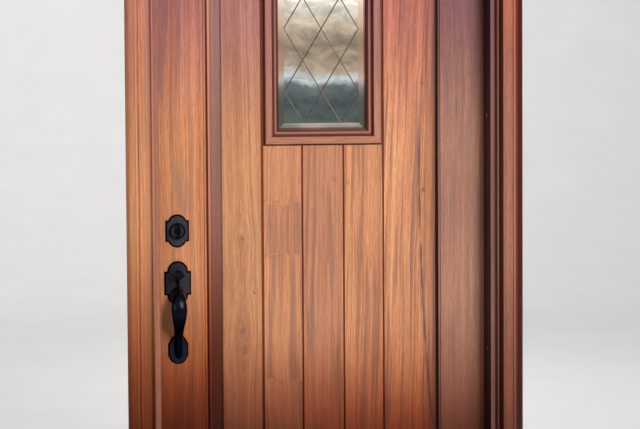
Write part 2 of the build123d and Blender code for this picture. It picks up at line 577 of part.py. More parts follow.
# ------------------------------------------------------------------ screws that hold the frame together
corner_screw_solids = []
for s in (1, -1):
    for y, z in ((35.0, Z_JAMB - 10.0), (-40.0, Z_JAMB - 16.0), (35.0, 16.0), (-40.0, 9.0)):
        cs = screw((s * X_JAMB, y, z), (-s, 0, 0), 52.0)
        corner_screw_solids.append(cs - cross_cut((s * X_JAMB, y, z), (-s, 0, 0)))
        if s > 0:
            hinge_jamb -= cs
        else:
            strike_jamb -= cs
        head_jamb -= cs
        sill -= cs


# ------------------------------------------------------------------ arched plates of the lock furniture
def arched_plate(x, z, a, b, c, h, base, top, inset, y_wall=Y_FACE, side=-1):
    """Rectangle 2a by 2b with an arch of chord 2c and rise h on its top and bottom, with a wide
    sloped rim.  Its back is on the wall at y_wall and it faces side (-1 street, +1 room)."""
    r = (c * c + h * h) / (2 * h)
    zc = b + h - r
    drop = top - base
    p = Pos(0, 0, base / 2) * Box(2 * a, 2 * b, base)
    lo = Pos(0, 0, base) * Rectangle(2 * a, 2 * b)
    hi = Pos(0, 0, top) * Rectangle(2 * (a - inset), 2 * (b - inset))
    p += loft([lo, hi])
    for s in (1, -1):
        p += Pos(0, s * zc, base / 2) * Cylinder(r, base)
        p += Pos(0, s * zc, base + drop / 2) * Cone(r, r - inset, drop)
    # local (x, y, height) -> (X, Z, outwards from the wall)
    if side < 0:
        return Plane(origin=(x, y_wall, z), x_dir=(1, 0, 0), z_dir=(0, -1, 0)) * p
    return Plane(origin=(x, y_wall, z), x_dir=(-1, 0, 0), z_dir=(0, 1, 0)) * p


PLATE_TOP = 6.0
deadbolt_outer_plate = arched_plate(LOCK_X, BOLT_Z, 31.3, 28.5, 23.5, 15.8, 1.6, PLATE_TOP, 4.4)
handle_upper_plate = arched_plate(LOCK_X, LATCH_Z, 35.6, 31.8, 27.3, 27.2, 1.6, PLATE_TOP, 4.4)
foot_rosette = arched_plate(LOCK_X, GRIP_FOOT_Z, 26.8, 18.3, 24.2, 20.7, 1.6, PLATE_TOP, 4.2)
deadbolt_inner_plate = arched_plate(LOCK_X, BOLT_Z, 31.3, 28.5, 23.5, 15.8, 1.6, PLATE_TOP, 4.4, Y_BACK, 1)


def turned(pts, x, z):
    """Turned piece about the Y line through (x, z); pts are (radius, y)."""
    f = make_face(poly(pts))                # outline in XY: radius, y
    s = revolve(f, axis=Axis.Y)
    return Pos(x, 0, z) * s


# deadbolt cylinder: tapered guard ring outside, body inside the cross bore, clamping flange
YP = Y_FACE - PLATE_TOP
PLUG_R = 8.0
cyl_pts = [
    (PLUG_R + 0.06, YP - 7.6), (PLUG_R + 1.6, YP - 8.4), (16.4, YP - 8.4), ((16.4, YP - 8.4), (17.3, YP - 8.8), (17.8, YP - 9.8)),
    (18.2, YP - 11.8), ((18.2, YP - 11.8), (19.1, YP - 12.9), (20.1, YP - 12.2)), (21.8, YP), (16.0, YP), (16.0, Y_FACE),
    (24.5, Y_FACE), (24.5, Y_FACE + 3.5), (15.0, Y_FACE + 3.5), (15.0, Y_MID - 13.2), (PLUG_R + 0.06, Y_MID - 13.2),
]
deadbolt_cylinder = turned(cyl_pts, LOCK_X, BOLT_Z)
deadbolt_outer_plate -= cyl_y(16.0, Y_FACE - 20, Y_FACE + 5, LOCK_X, BOLT_Z)

key_plug = turned([(0, YP - 8.0), (PLUG_R - 0.5, YP - 8.0), (PLUG_R, YP - 7.5), (PLUG_R, Y_MID - 13.2), (0, Y_MID - 13.2)], LOCK_X, BOLT_Z)
# shallow upright recess across the face of guard and plug
recess = box(LOCK_X - 2.6, LOCK_X + 2.6, YP - 12, YP - 7.2, BOLT_Z - 14.2, BOLT_Z + 14.2)
deadbolt_cylinder -= recess
key_plug -= box(LOCK_X - 2.6, LOCK_X + 2.6, YP - 12, YP - 7.2, BOLT_Z - 14.2, BOLT_Z + 14.2)
# upright keyway with a warded side
key_plug -= box(LOCK_X - 1.5, LOCK_X + 1.5, YP - 12, Y_MID - 20.0, BOLT_Z - 6.0, BOLT_Z + 5.4)
key_plug -= box(LOCK_X - 2.4, LOCK_X, YP - 12, Y_MID - 20.0, BOLT_Z - 2.4, BOLT_Z + 0.2)

# edge cases: round body with a mortised face plate, hub hole across
def edge_case(z, bolt_r, hub_r, mouth, bore_end):
    c = cyl_x(EDGE_BORE_R - 0.1, -X_LEAF + 2.4, LOCK_X + 13.0, Y_MID, z)
    c += box(-X_LEAF, -X_LEAF + 2.4, Y_MID - 12.7, Y_MID + 12.7, z - 28.6, z + 28.6)
    c -= cyl_x(bolt_r, -X_LEAF + (2.4 if mouth is not None else -1.0), bore_end, Y_MID, z)
    if mouth is not None:
        c -= mouth
    c -= cyl_y(hub_r, Y_MID - 20, Y_MID + 20, LOCK_X, z)
    return c


deadbolt_case = edge_case(BOLT_Z, 9.2, 3.8, None, LOCK_X - 12.5)
deadbolt_bolt = cyl_x(9.1, -X_LEAF + 0.3, LOCK_X - 14.0, Y_MID, BOLT_Z)
deadbolt_bolt = chamfer(deadbolt_bolt.edges().filter_by(GeomType.CIRCLE).sort_by(Axis.X)[0:1], 1.0)

latch_mouth = box(-X_LEAF - 1, -X_LEAF + 3, Y_MID - 5.9, Y_MID + 5.9, LATCH_Z - 8.4, LATCH_Z + 8.4)
latch_case = edge_case(LATCH_Z, 9.95, 5.6, latch_mouth, LOCK_X - 17.0)
# sprung latch: square tongue with a sloped street side
LB0 = -X_LEAF - LATCH_THROW
latch_bolt = in_plan([(LB0, Y_MID + 5.6), (LB0, Y_MID + 3.4), (-X_LEAF - 1.6, Y_MID - 5.6), (LOCK_X - 33.0, Y_MID - 5.6),
                      (LOCK_X - 33.0, Y_MID + 5.6)], LATCH_Z - 8.1, LATCH_Z + 8.1)

# bores and mortises in the lock stile
for z in (BOLT_Z, LATCH_Z):
    lock_stile -= cyl_y(CROSS_BORE_R, Y_FACE - 5, Y_BACK + 5, LOCK_X, z)
    lock_stile -= cyl_x(EDGE_BORE_R, -X_LEAF - 2, LOCK_X, Y_MID, z)
    lock_stile -= box(-X_LEAF - 1, -X_LEAF + 2.4, Y_MID - 12.7, Y_MID + 12.7, z - 28.6, z + 28.6)

# ------------------------------------------------------------------ thumb turn on the room side
TT_Y = Y_BACK + PLATE_TOP
thumb_turn = turned([(0, TT_Y - 5.0), (8.9, TT_Y - 5.0), (8.9, TT_Y), (11.5, TT_Y + 0.3), (11.5, TT_Y + 3.0), (9.5, TT_Y + 4.5), (0, TT_Y + 4.5)],
                    LOCK_X, BOLT_Z)
wing = Pos(LOCK_X, TT_Y + 13.0, BOLT_Z) * Box(6.0, 20.0, 34.0)
wing = fillet(wing.edges().filter_by(Axis.X), 6.0)
wing = fillet(wing.edges().filter_by(GeomType.LINE).filter_by(Axis.Y), 2.0)
thumb_turn += wing
thumb_turn += box(LOCK_X - 1.25, LOCK_X + 1.25, Y_MID - 12.5, TT_Y - 3, BOLT_Z - 3.1, BOLT_Z + 3.1)
deadbolt_inner_plate -= cyl_y(9.0, Y_BACK - 5, Y_BACK + 30, LOCK_X, BOLT_Z)

# ------------------------------------------------------------------ grip
YG = Y_FACE - PLATE_TOP          # face of the plates


def ring_at(z, p, tz, tp, w, t, n=2.0):
    """Oval section of the grip: z and p locate its centre, (tz, tp) is the path's direction."""
    d = Vector(0, -tp, tz).normalized()
    pl = Plane(origin=(LOCK_X, YG - p, LATCH_Z + z), x_dir=(1, 0, 0), z_dir=(d.X, d.Y, d.Z))
    return pl * Ellipse(w / 2, t / 2)


path = [  # z, p, width, thickness
    (-20.0, -3.0, 29.0, 25.0),
    (-21.5, 14.0, 29.5, 24.0),
    (-27.0, 31.0, 31.5, 22.5),
    (-39.0, 46.0, 36.0, 21.0),
    (-57.0, 54.5, 41.0, 19.5),
    (-77.0, 55.5, 39.5, 18.5),
    (-96.0, 48.5, 34.0, 17.0),
    (-113.0, 36.0, 28.5, 16.0),
    (-130.0, 23.0, 24.5, 15.0),
    (-150.0, 10.5, 22.5, 14.0),
    (-172.0, 3.2, 22.0, 12.5),
    (-190.0, 0.4, 19.5, 10.0),
    (-198.0, 0.0, 14.5, 7.6),
    (-201.5, 0.0, 7.5, 4.0),
]
rings = []
for i, (z, p, w, t) in enumerate(path):
    if i == 0:
        dz, dp = 0.0, 1.0
    elif i == len(path) - 1:
        dz, dp = -1.0, -0.08
    else:
        dz, dp = path[i + 1][0] - path[i - 1][0], path[i + 1][1] - path[i - 1][1]
    rings.append(ring_at(z, p, dz, dp, w, t))
pull_grip = loft(rings)
# the ends lie flat on the plate and on the rosette
keep = box(LOCK_X - 60, LOCK_X + 60, YG - 120, YG, LATCH_Z - 260, LATCH_Z + 60)
pull_grip &= keep

# ------------------------------------------------------------------ thumb piece
PIV_Y, PIV_Z = Y_FACE + 3.4, LATCH_Z + 6.0
TPS = [  # side outline of the lever, (y, z - LATCH_Z)
    (Y_FACE + 8.8, 8.6), (Y_FACE + 8.8, 13.0), (Y_FACE + 2.0, 10.8), (YG, 9.6),
    ((YG, 9.6), (YG - 16.0, 15.0), (YG - 27.0, 27.0)), ((YG - 27.0, 27.0), (YG - 31.0, 35.6), (YG - 37.6, 41.4)),
    ((YG - 37.6, 41.4), (YG - 40.0, 40.4), (YG - 39.6, 37.8)),
    ((YG - 39.6, 37.8), (YG - 34.6, 31.6), (YG - 31.4, 23.6)), ((YG - 31.4, 23.6), (YG - 19.4, 9.8), (YG, 3.6)),
    (Y_FACE + 2.0, 2.6), (Y_FACE + 5.5, 4.6),
]
tps = [tuple((a, b + LATCH_Z) for a, b in q) if isinstance(q[0], tuple) else (q[0], q[1] + LATCH_Z) for q in TPS]
thumb_side = in_side(tps, LOCK_X - 17.0, LOCK_X + 17.0)
zl = LATCH_Z
thumb_front = in_front([
    (LOCK_X - 4.2, zl - 2), (LOCK_X - 4.2, zl + 9.0), ((LOCK_X - 4.2, zl + 9.0), (LOCK_X - 8.0, zl + 14.8), (LOCK_X - 14.0, zl + 19.4)),
    ((LOCK_X - 14.0, zl + 19.4), (LOCK_X - 16.0, zl + 24.0), (LOCK_X - 14.0, zl + 29.0)),
    ((LOCK_X - 14.0, zl + 29.0), (LOCK_X - 10.4, zl + 32.6), (LOCK_X - 8.4, zl + 37.0)),
    ((LOCK_X - 8.4, zl + 37.0), (LOCK_X, zl + 42.4), (LOCK_X + 8.4, zl + 37.0)),
    ((LOCK_X + 8.4, zl + 37.0), (LOCK_X + 10.4, zl + 32.6), (LOCK_X + 14.0, zl + 29.0)),
    ((LOCK_X + 14.0, zl + 29.0), (LOCK_X + 16.0, zl + 24.0), (LOCK_X + 14.0, zl + 19.4)),
    ((LOCK_X + 14.0, zl + 19.4), (LOCK_X + 8.0, zl + 14.8), (LOCK_X + 4.2, zl + 9.0)), (LOCK_X + 4.2, zl - 2),
], YG - 60, YG)
thumb_stem = box(LOCK_X - 4.2, LOCK_X + 4.2, YG, Y_FACE + 30, zl - 10, zl + 40)
thumb_piece = thumb_side & (thumb_front + thumb_stem)
thumb_piece += cyl_x(2.0, LOCK_X - 12.0, LOCK_X + 12.0, PIV_Y, PIV_Z)

# back boss of the upper plate, with ears for the thumb piece's trunnions
boss = Pos(0, 0, 0) * cyl_y(25.5, Y_FACE, Y_FACE + 2.0, LOCK_X, LATCH_Z)
ears = box(LOCK_X - 13.0, LOCK_X - 5.4, Y_FACE, Y_FACE + 7.0, LATCH_Z, LATCH_Z + 12.0)
ears += box(LOCK_X + 5.4, LOCK_X + 13.0, Y_FACE, Y_FACE + 7.0, LATCH_Z, LATCH_Z + 12.0)
handle_upper_plate += boss + ears
handle_upper_plate -= box(LOCK_X - 5.0, LOCK_X + 5.0, YG - 10, Y_FACE + 12, LATCH_Z - 6.5, LATCH_Z + 20.0)
handle_upper_plate -= cyl_x(2.06, LOCK_X - 14, LOCK_X + 14, PIV_Y, PIV_Z)

# ------------------------------------------------------------------ inside lever and rose
RO_Y = Y_BACK + 10.0
inner_rose = turned([(9.6, Y_BACK), (33.0, Y_BACK), (33.0, Y_BACK + 3.0), ((33.0, Y_BACK + 3.0), (29.0, RO_Y - 2.2), (20.0, RO_Y)), (9.6, RO_Y)],
                    LOCK_X, LATCH_Z)
lever = turned([(0, Y_BACK + 2.0), (9.5, Y_BACK + 2.0), (9.5, RO_Y + 14.0), (11.0, RO_Y + 16.0), (11.0, RO_Y + 27.0), (9.0, RO_Y + 30.0), (0, RO_Y + 30.0)],
               LOCK_X, LATCH_Z)
arm_rings = []
for x, y, w, t in ((0.0, RO_Y + 22.0, 20.0, 12.5), (24.0, RO_Y + 23.5, 19.0, 12.0), (55.0, RO_Y + 22.5, 18.5, 11.0), (85.0, RO_Y + 19.5, 18.0, 10.0), (106.0, RO_Y + 17.2, 15.5, 9.0),
                   (111.0, RO_Y + 16.8, 11.5, 7.0), (113.5, RO_Y + 16.6, 5.5, 3.6)):
    arm_rings.append(Plane(origin=(LOCK_X + x, y, LATCH_Z), x_dir=(0, 0, 1), z_dir=(1, 0, 0)) * Ellipse(w / 2, t / 2))
arm = loft(arm_rings)
inside_lever = lever + arm
inside_lever += box(LOCK_X - 3.8, LOCK_X + 3.8, Y_MID - 13.0, Y_BACK + 4, LATCH_Z - 3.8, LATCH_Z + 3.8)

# ------------------------------------------------------------------ through screws of the lock furniture
THROUGH = ((LOCK_X, BOLT_Z + 19.5, "d"), (LOCK_X, BOLT_Z - 19.5, "d"), (LOCK_X + 19.5, LATCH_Z, "h"), (LOCK_X, LATCH_Z - 19.5, "h"),
           (LOCK_X, GRIP_FOOT_Z, "f"))
through_screw_solids = []
YS1 = Y_BACK + 3.0        # underside of the heads, room side
YS0 = Y_FACE - 3.2        # tips in the street-side pieces


def through_screw(x, z):
    s = cyl_y(2.4, YS0, YS1 + 0.5, x, z)
    s += turned([(0, YS1), (4.6, YS1), (4.6, YS1 + 1.2), ((4.6, YS1 + 1.2), (3.4, YS1 + 2.5), (0.01, YS1 + 3.0)), (0, YS1 + 3.0)], x, z)
    return s


for x, z, kind in THROUGH:
    s = through_screw(x, z)
    path_hole = cyl_y(2.4, YS0, YS1 + 0.5, x, z)
    head_room = cyl_y(4.7, YS1, Y_BACK + 20, x, z)
    s -= Pos(x, YS1 + 3.0, z) * (Box(4.2, 2.6, 0.9) + Box(0.9, 2.6, 4.2))
    if kind == "d":
        deadbolt_cylinder -= path_hole
        deadbolt_outer_plate -= path_hole
        deadbolt_inner_plate = deadbolt_inner_plate - path_hole - head_room
    elif kind == "h":
        handle_upper_plate -= path_hole
        inner_rose = inner_rose - path_hole - head_room
    else:
        # the foot screw's head lies on the wood, so its tip reaches into the grip's foot
        s = Pos(0, -3.0, 0) * s
        path_hole = Pos(0, -3.0, 0) * path_hole
        foot_rosette -= path_hole
        lock_stile -= path_hole
        pull_grip -= path_hole
    through_screw_solids.append(s)

# ------------------------------------------------------------------ nodes
nodes.update({
    "sill": sill,
    "hinge_jamb": hinge_jamb,
    "strike_jamb": strike_jamb,
    "head_jamb": head_jamb,
    "hinge_side_casing": hinge_side_casing,
    "lock_side_casing": lock_side_casing,
    "head_casing": head_casing,
    "hinge_side_seal": hinge_side_seal,
    "lock_side_seal": lock_side_seal,
    "head_seal": head_seal,
    "latch_strike_plate": latch_strike_plate,
    "deadbolt_strike_plate": deadbolt_strike_plate,
    "lock_stile": lock_stile,
    "hinge_stile": hinge_stile,
    "top_rail": top_rail,
    "bottom_rail": bottom_rail,
    "narrow_board": narrow_board,
    "left_plank": left_plank,
    "centre_left_plank": centre_left_plank,
    "centre_middle_plank": centre_middle_plank,
    "centre_right_plank": centre_right_plank,
    "right_plank": right_plank,
    "lite_moulding_left": lite_left,
    "lite_moulding_right": lite_right,
    "lite_moulding_bottom": lite_bottom,
    "lite_moulding_top": lite_top,
    "inner_moulding_left": inner_lite_left,
    "inner_moulding_right": inner_lite_right,
    "inner_moulding_bottom": inner_lite_bottom,
    "inner_moulding_top": inner_lite_top,
    "outer_pane": outer_pane,
    "glass_spacer": glass_spacer,
    "lattice_pane": lattice_pane,
    "door_sweep": door_sweep,
    "deadbolt_outer_plate": deadbolt_outer_plate,
    "deadbolt_cylinder": deadbolt_cylinder,
    "key_plug": key_plug,
    "deadbolt_case": deadbolt_case,
    "deadbolt_bolt": deadbolt_bolt,
    "deadbolt_inner_plate": deadbolt_inner_plate,
    "thumb_turn": thumb_turn,
    "handle_upper_plate": handle_upper_plate,
    "thumb_piece": thumb_piece,
    "pull_grip": pull_grip,
    "foot_rosette": foot_rosette,
    "latch_case": latch_case,
    "latch_bolt": latch_bolt,
    "inner_rose": inner_rose,
    "inside_lever": inside_lever,
})
groups = {
    "hinge_pins": pin_solids,
    "frame_plate_screws": frame_screw_solids,
    "leaf_plate_screws": leaf_screw_solids,
    "frame_corner_screws": corner_screw_solids,
    "through_screws": through_screw_solids,
}


def solids_of(shape):
    return list(shape.solids()) if hasattr(shape, "solids") else [shape]


for name, shape in nodes.items():
    ss = solids_of(shape)
    if len(ss) != 1:
        print("NOTE", name, "has", len(ss), "solids", [round(s.volume, 1) for s in ss])
    export_step(Compound(children=ss) if len(ss) > 1 else ss[0], os.path.join(OUT, name + ".step"))
for name, shapes in groups.items():
    ss = []
    for s in shapes:
        got = solids_of(s)
        if len(got) != 1:
            print("NOTE", name, "piece has", len(got), "solids", [round(g.volume, 2) for g in got])
        ss += got
    export_step(Compound(children=ss), os.path.join(OUT, name + ".step"))
print(len(nodes) + len(groups), "nodes written")
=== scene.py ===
import math

import bpy
from mathutils import Matrix, Vector


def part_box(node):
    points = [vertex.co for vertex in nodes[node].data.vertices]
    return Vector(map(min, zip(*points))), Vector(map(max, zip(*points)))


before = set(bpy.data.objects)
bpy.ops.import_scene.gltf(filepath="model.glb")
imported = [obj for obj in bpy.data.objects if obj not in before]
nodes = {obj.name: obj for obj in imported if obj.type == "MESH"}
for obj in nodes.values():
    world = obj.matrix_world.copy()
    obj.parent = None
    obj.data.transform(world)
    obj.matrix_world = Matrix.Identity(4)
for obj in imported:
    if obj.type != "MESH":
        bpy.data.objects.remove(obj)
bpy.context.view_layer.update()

scene = bpy.context.scene
scene.view_settings.view_transform = "Standard"
scene.view_settings.look = "None"


# ------------------------------------------------------------------ node helpers
class Tree:
    """Small helper round a material's node tree."""

    def __init__(self, name):
        self.mat = bpy.data.materials.new(name)
        self.mat.use_nodes = True
        self.t = self.mat.node_tree
        self.t.nodes.clear()
        self.out = self.t.nodes.new("ShaderNodeOutputMaterial")
        self.bsdf = self.t.nodes.new("ShaderNodeBsdfPrincipled")
        self.t.links.new(self.bsdf.outputs[0], self.out.inputs[0])

    def new(self, kind, **props):
        n = self.t.nodes.new(kind)
        for k, v in props.items():
            setattr(n, k, v)
        return n

    def put(self, socket, value):
        if hasattr(value, "is_output"):
            self.t.links.new(value, socket)
        elif value is not None:
            socket.default_value = value

    def math(self, op, a, b=None, c=None, clamp=False):
        n = self.new("ShaderNodeMath", operation=op)
        n.use_clamp = clamp
        self.put(n.inputs[0], a)
        self.put(n.inputs[1], b)
        if c is not None:
            self.put(n.inputs[2], c)
        return n.outputs[0]

    def vec(self, x, y, z):
        n = self.new("ShaderNodeCombineXYZ")
        for s, v in zip(n.inputs, (x, y, z)):
            self.put(s, v)
        return n.outputs[0]

    def split(self, v):
        n = self.new("ShaderNodeSeparateXYZ")
        self.put(n.inputs[0], v)
        return n.outputs

    def noise(self, v, scale=1.0, detail=2.0, rough=0.5, dist=0.0, dims="3D", w=None):
        n = self.new("ShaderNodeTexNoise", noise_dimensions=dims)
        if dims != "1D":
            self.put(n.inputs["Vector"], v)
        if w is not None:
            self.put(n.inputs["W"], w)
        n.inputs["Scale"].default_value = scale
        n.inputs["Detail"].default_value = detail
        n.inputs["Roughness"].default_value = rough
        n.inputs["Distortion"].default_value = dist
        return n.outputs["Fac"]

    def range(self, v, a, b, c=0.0, d=1.0, smooth=True):
        n = self.new("ShaderNodeMapRange", interpolation_type="SMOOTHSTEP" if smooth else "LINEAR")
        n.clamp = True
        self.put(n.inputs["Value"], v)
        for k, x in (("From Min", a), ("From Max", b), ("To Min", c), ("To Max", d)):
            self.put(n.inputs[k], x)
        return n.outputs[0]

    def mix(self, fac, a, b, blend="MIX"):
        n = self.new("ShaderNodeMix", data_type="RGBA", blend_type=blend)
        n.clamp_result = False
        self.put(n.inputs["Factor"], fac)
        for s, v in ((n.inputs[6], a), (n.inputs[7], b)):
            if isinstance(v, tuple) and len(v) == 3:
                v = (*v, 1.0)
            self.put(s, v)
        return n.outputs[2]

    def ramp(self, fac, stops):
        n = self.new("ShaderNodeValToRGB")
        self.put(n.inputs[0], fac)
        r = n.color_ramp
        while len(r.elements) > len(stops):
            r.elements.remove(r.elements[-1])
        while len(r.elements) < len(stops):
            r.elements.new(1.0)
        for e, (p, c) in zip(r.elements, stops):
            e.position = p
            e.color = (*c, 1.0)
        return n.outputs[0]

    def bump(self, height, strength=0.3, distance=0.001, normal=None):
        n = self.new("ShaderNodeBump")
        n.inputs["Strength"].default_value = strength
        n.inputs["Distance"].default_value = distance
        self.put(n.inputs["Height"], height)
        if normal is not None:
            self.put(n.inputs["Normal"], normal)
        return n.outputs[0]

    def obj(self):
        return self.new("ShaderNodeTexCoord").outputs["Object"]

    def set(self, **kw):
        for k, v in kw.items():
            self.put(self.bsdf.inputs[k.replace("_", " ")], v)


def lin(r, g, b):
    """sRGB 0-255 to linear."""
    return tuple((c / 255 / 12.92) if c <= 10.3 else (((c / 255) + 0.055) / 1.055) ** 2.4 for c in (r, g, b))


def give(name, mat):
    o = nodes[name]
    o.data.materials.clear()
    o.data.materials.append(mat)


# ------------------------------------------------------------------ stained mahogany
# the foot tints are painted shade at the door's foot, the groove colour is stain in joints, and the maroon and
# pitch-dark colours are painted shade in quirks, coves and the reveal
FOOT_SHADE = (0.33, 0.20, 0.165)
GROOVE = (0.20, 0.042, 0.015)
MAROON_SHADE = (0.16, 0.028, 0.012)
PITCH_SHADE = (0.030, 0.006, 0.006)
WARM_FOOT_SHADE = (0.41, 0.22, 0.157)
RED_FOOT_SHADE = (0.33, 0.165, 0.10)


def band(t, v, a, b, soft=0.0004):
    """1 where v lies between a and b."""
    return t.math("MULTIPLY", t.range(v, a - soft, a + soft), t.range(v, b - soft, b + soft, 1.0, 0.0))


def joint(y0=0.0178, y1=0.0192, back=0.0530, amount=0.93, tint=GROOVE, x_max=None, x_from=None, x_to=None):
    """Stain in everything deeper than y0 on the street side, and the same on the room side."""
    def zone(t, p):
        k = t.math("MULTIPLY", t.range(p[1], y0, y1), t.range(p[1], back - 0.001, back + 0.0006, 1.0, 0.0))
        if x_max is not None:
            k = t.math("MULTIPLY", k, t.range(t.math("ABSOLUTE", p[0]), x_max - 0.0005, x_max + 0.0005, 1.0, 0.0))
        if x_from is not None:
            k = t.math("MULTIPLY", k, t.range(p[0], x_from - 0.0005, x_from + 0.0005))
        if x_to is not None:
            k = t.math("MULTIPLY", k, t.range(p[0], x_to - 0.0005, x_to + 0.0005, 1.0, 0.0))
        return t.math("MULTIPLY", k, amount), tint
    return zone


def spot(x, z, rx, rz, amount, tint, rag=0.6):
    """Soft ragged patch of mineral stain."""
    def zone(t, p):
        dx = t.math("MULTIPLY", t.math("SUBTRACT", p[0], x), 1.0 / rx)
        dz = t.math("MULTIPLY", t.math("SUBTRACT", p[2], z), 1.0 / rz)
        d = t.math("SQRT", t.math("ADD", t.math("MULTIPLY", dx, dx), t.math("MULTIPLY", dz, dz)))
        n = t.noise(t.vec(t.math("MULTIPLY", p[0], 260.0), 0.0, t.math("MULTIPLY", p[2], 60.0)), 1.0, 2.0, 0.6)
        d = t.math("ADD", d, t.math("MULTIPLY", t.math("SUBTRACT", n, 0.5), rag * 2.0))
        return t.math("MULTIPLY", t.range(d, 0.15, 1.15, 1.0, 0.0), amount), tint
    return zone


def vein(x, z, bend, half, z0, z1, amount, tint):
    """A dark vein that follows a shallow curve up the board."""
    def zone(t, p):
        dz = t.math("SUBTRACT", p[2], z)
        line = t.math("ADD", t.math("MULTIPLY", t.math("MULTIPLY", dz, dz), bend), x)
        wob = t.noise(t.vec(0.0, 0.0, t.math("MULTIPLY", p[2], 16.0)), 1.0, 2.0, 0.5)
        line = t.math("ADD", line, t.math("MULTIPLY", t.math("SUBTRACT", wob, 0.5), 0.004))
        off = t.math("ABSOLUTE", t.math("SUBTRACT", p[0], line))
        gap = t.noise(t.vec(3.0, 0.0, t.math("MULTIPLY", p[2], 9.0)), 1.0, 1.0, 0.5)
        k = t.math("MULTIPLY", t.range(off, half * 0.2, half, 1.0, 0.0), t.range(gap, 0.36, 0.56))
        k = t.math("MULTIPLY", k, band(t, p[2], z0, z1, 0.03))
        return t.math("MULTIPLY", k, amount), tint
    return zone


def lines_of(x0, x1, scale, amount, tint, y_max=0.0182):
    """Fine upright dark lines between x0 and x1."""
    def zone(t, p):
        n = t.noise(t.vec(t.math("MULTIPLY", p[0], scale), 0.0, t.math("MULTIPLY", p[2], 2.2)), 1.0, 2.0, 0.55)
        k = t.math("MULTIPLY", t.range(n, 0.48, 0.66), band(t, p[0], x0, x1, 0.005))
        k = t.math("MULTIPLY", k, t.range(p[1], y_max - 0.0004, y_max + 0.0004, 1.0, 0.0))
        return t.math("MULTIPLY", k, amount), tint
    return zone


def fade(x0, x1, amount, tint, y_max=None):
    """A tint that grows softly from x0 to x1: stain on the right plank, painted shadow at the hinge stile's edge."""
    def zone(t, p):
        k = t.range(p[0], x0, x1)
        if y_max is not None:
            k = t.math("MULTIPLY", k, t.range(p[1], y_max - 0.0004, y_max + 0.0004, 1.0, 0.0))
        return t.math("MULTIPLY", k, amount), tint
    return zone


def strip(axis, a, b, amount, tint, soft=0.0004, side=0, y_max=None):
    """A tint between two lines, for stain in joints and for painted shade and highlights on casings, jambs and edges:
    axis 0, 1 or 2; side picks +X or -X, or both with 0.
    """
    def zone(t, p):
        v = t.math("ABSOLUTE", p[0]) if axis == 0 else p[axis]
        k = band(t, v, a, b, soft)
        if side:
            k = t.math("MULTIPLY", k, t.range(t.math("MULTIPLY", p[0], side), 0.0, 0.01))
        if y_max is not None:
            k = t.math("MULTIPLY", k, t.range(p[1], y_max - 0.0004, y_max + 0.0004, 1.0, 0.0))
        return t.math("MULTIPLY", k, amount), tint
    return zone


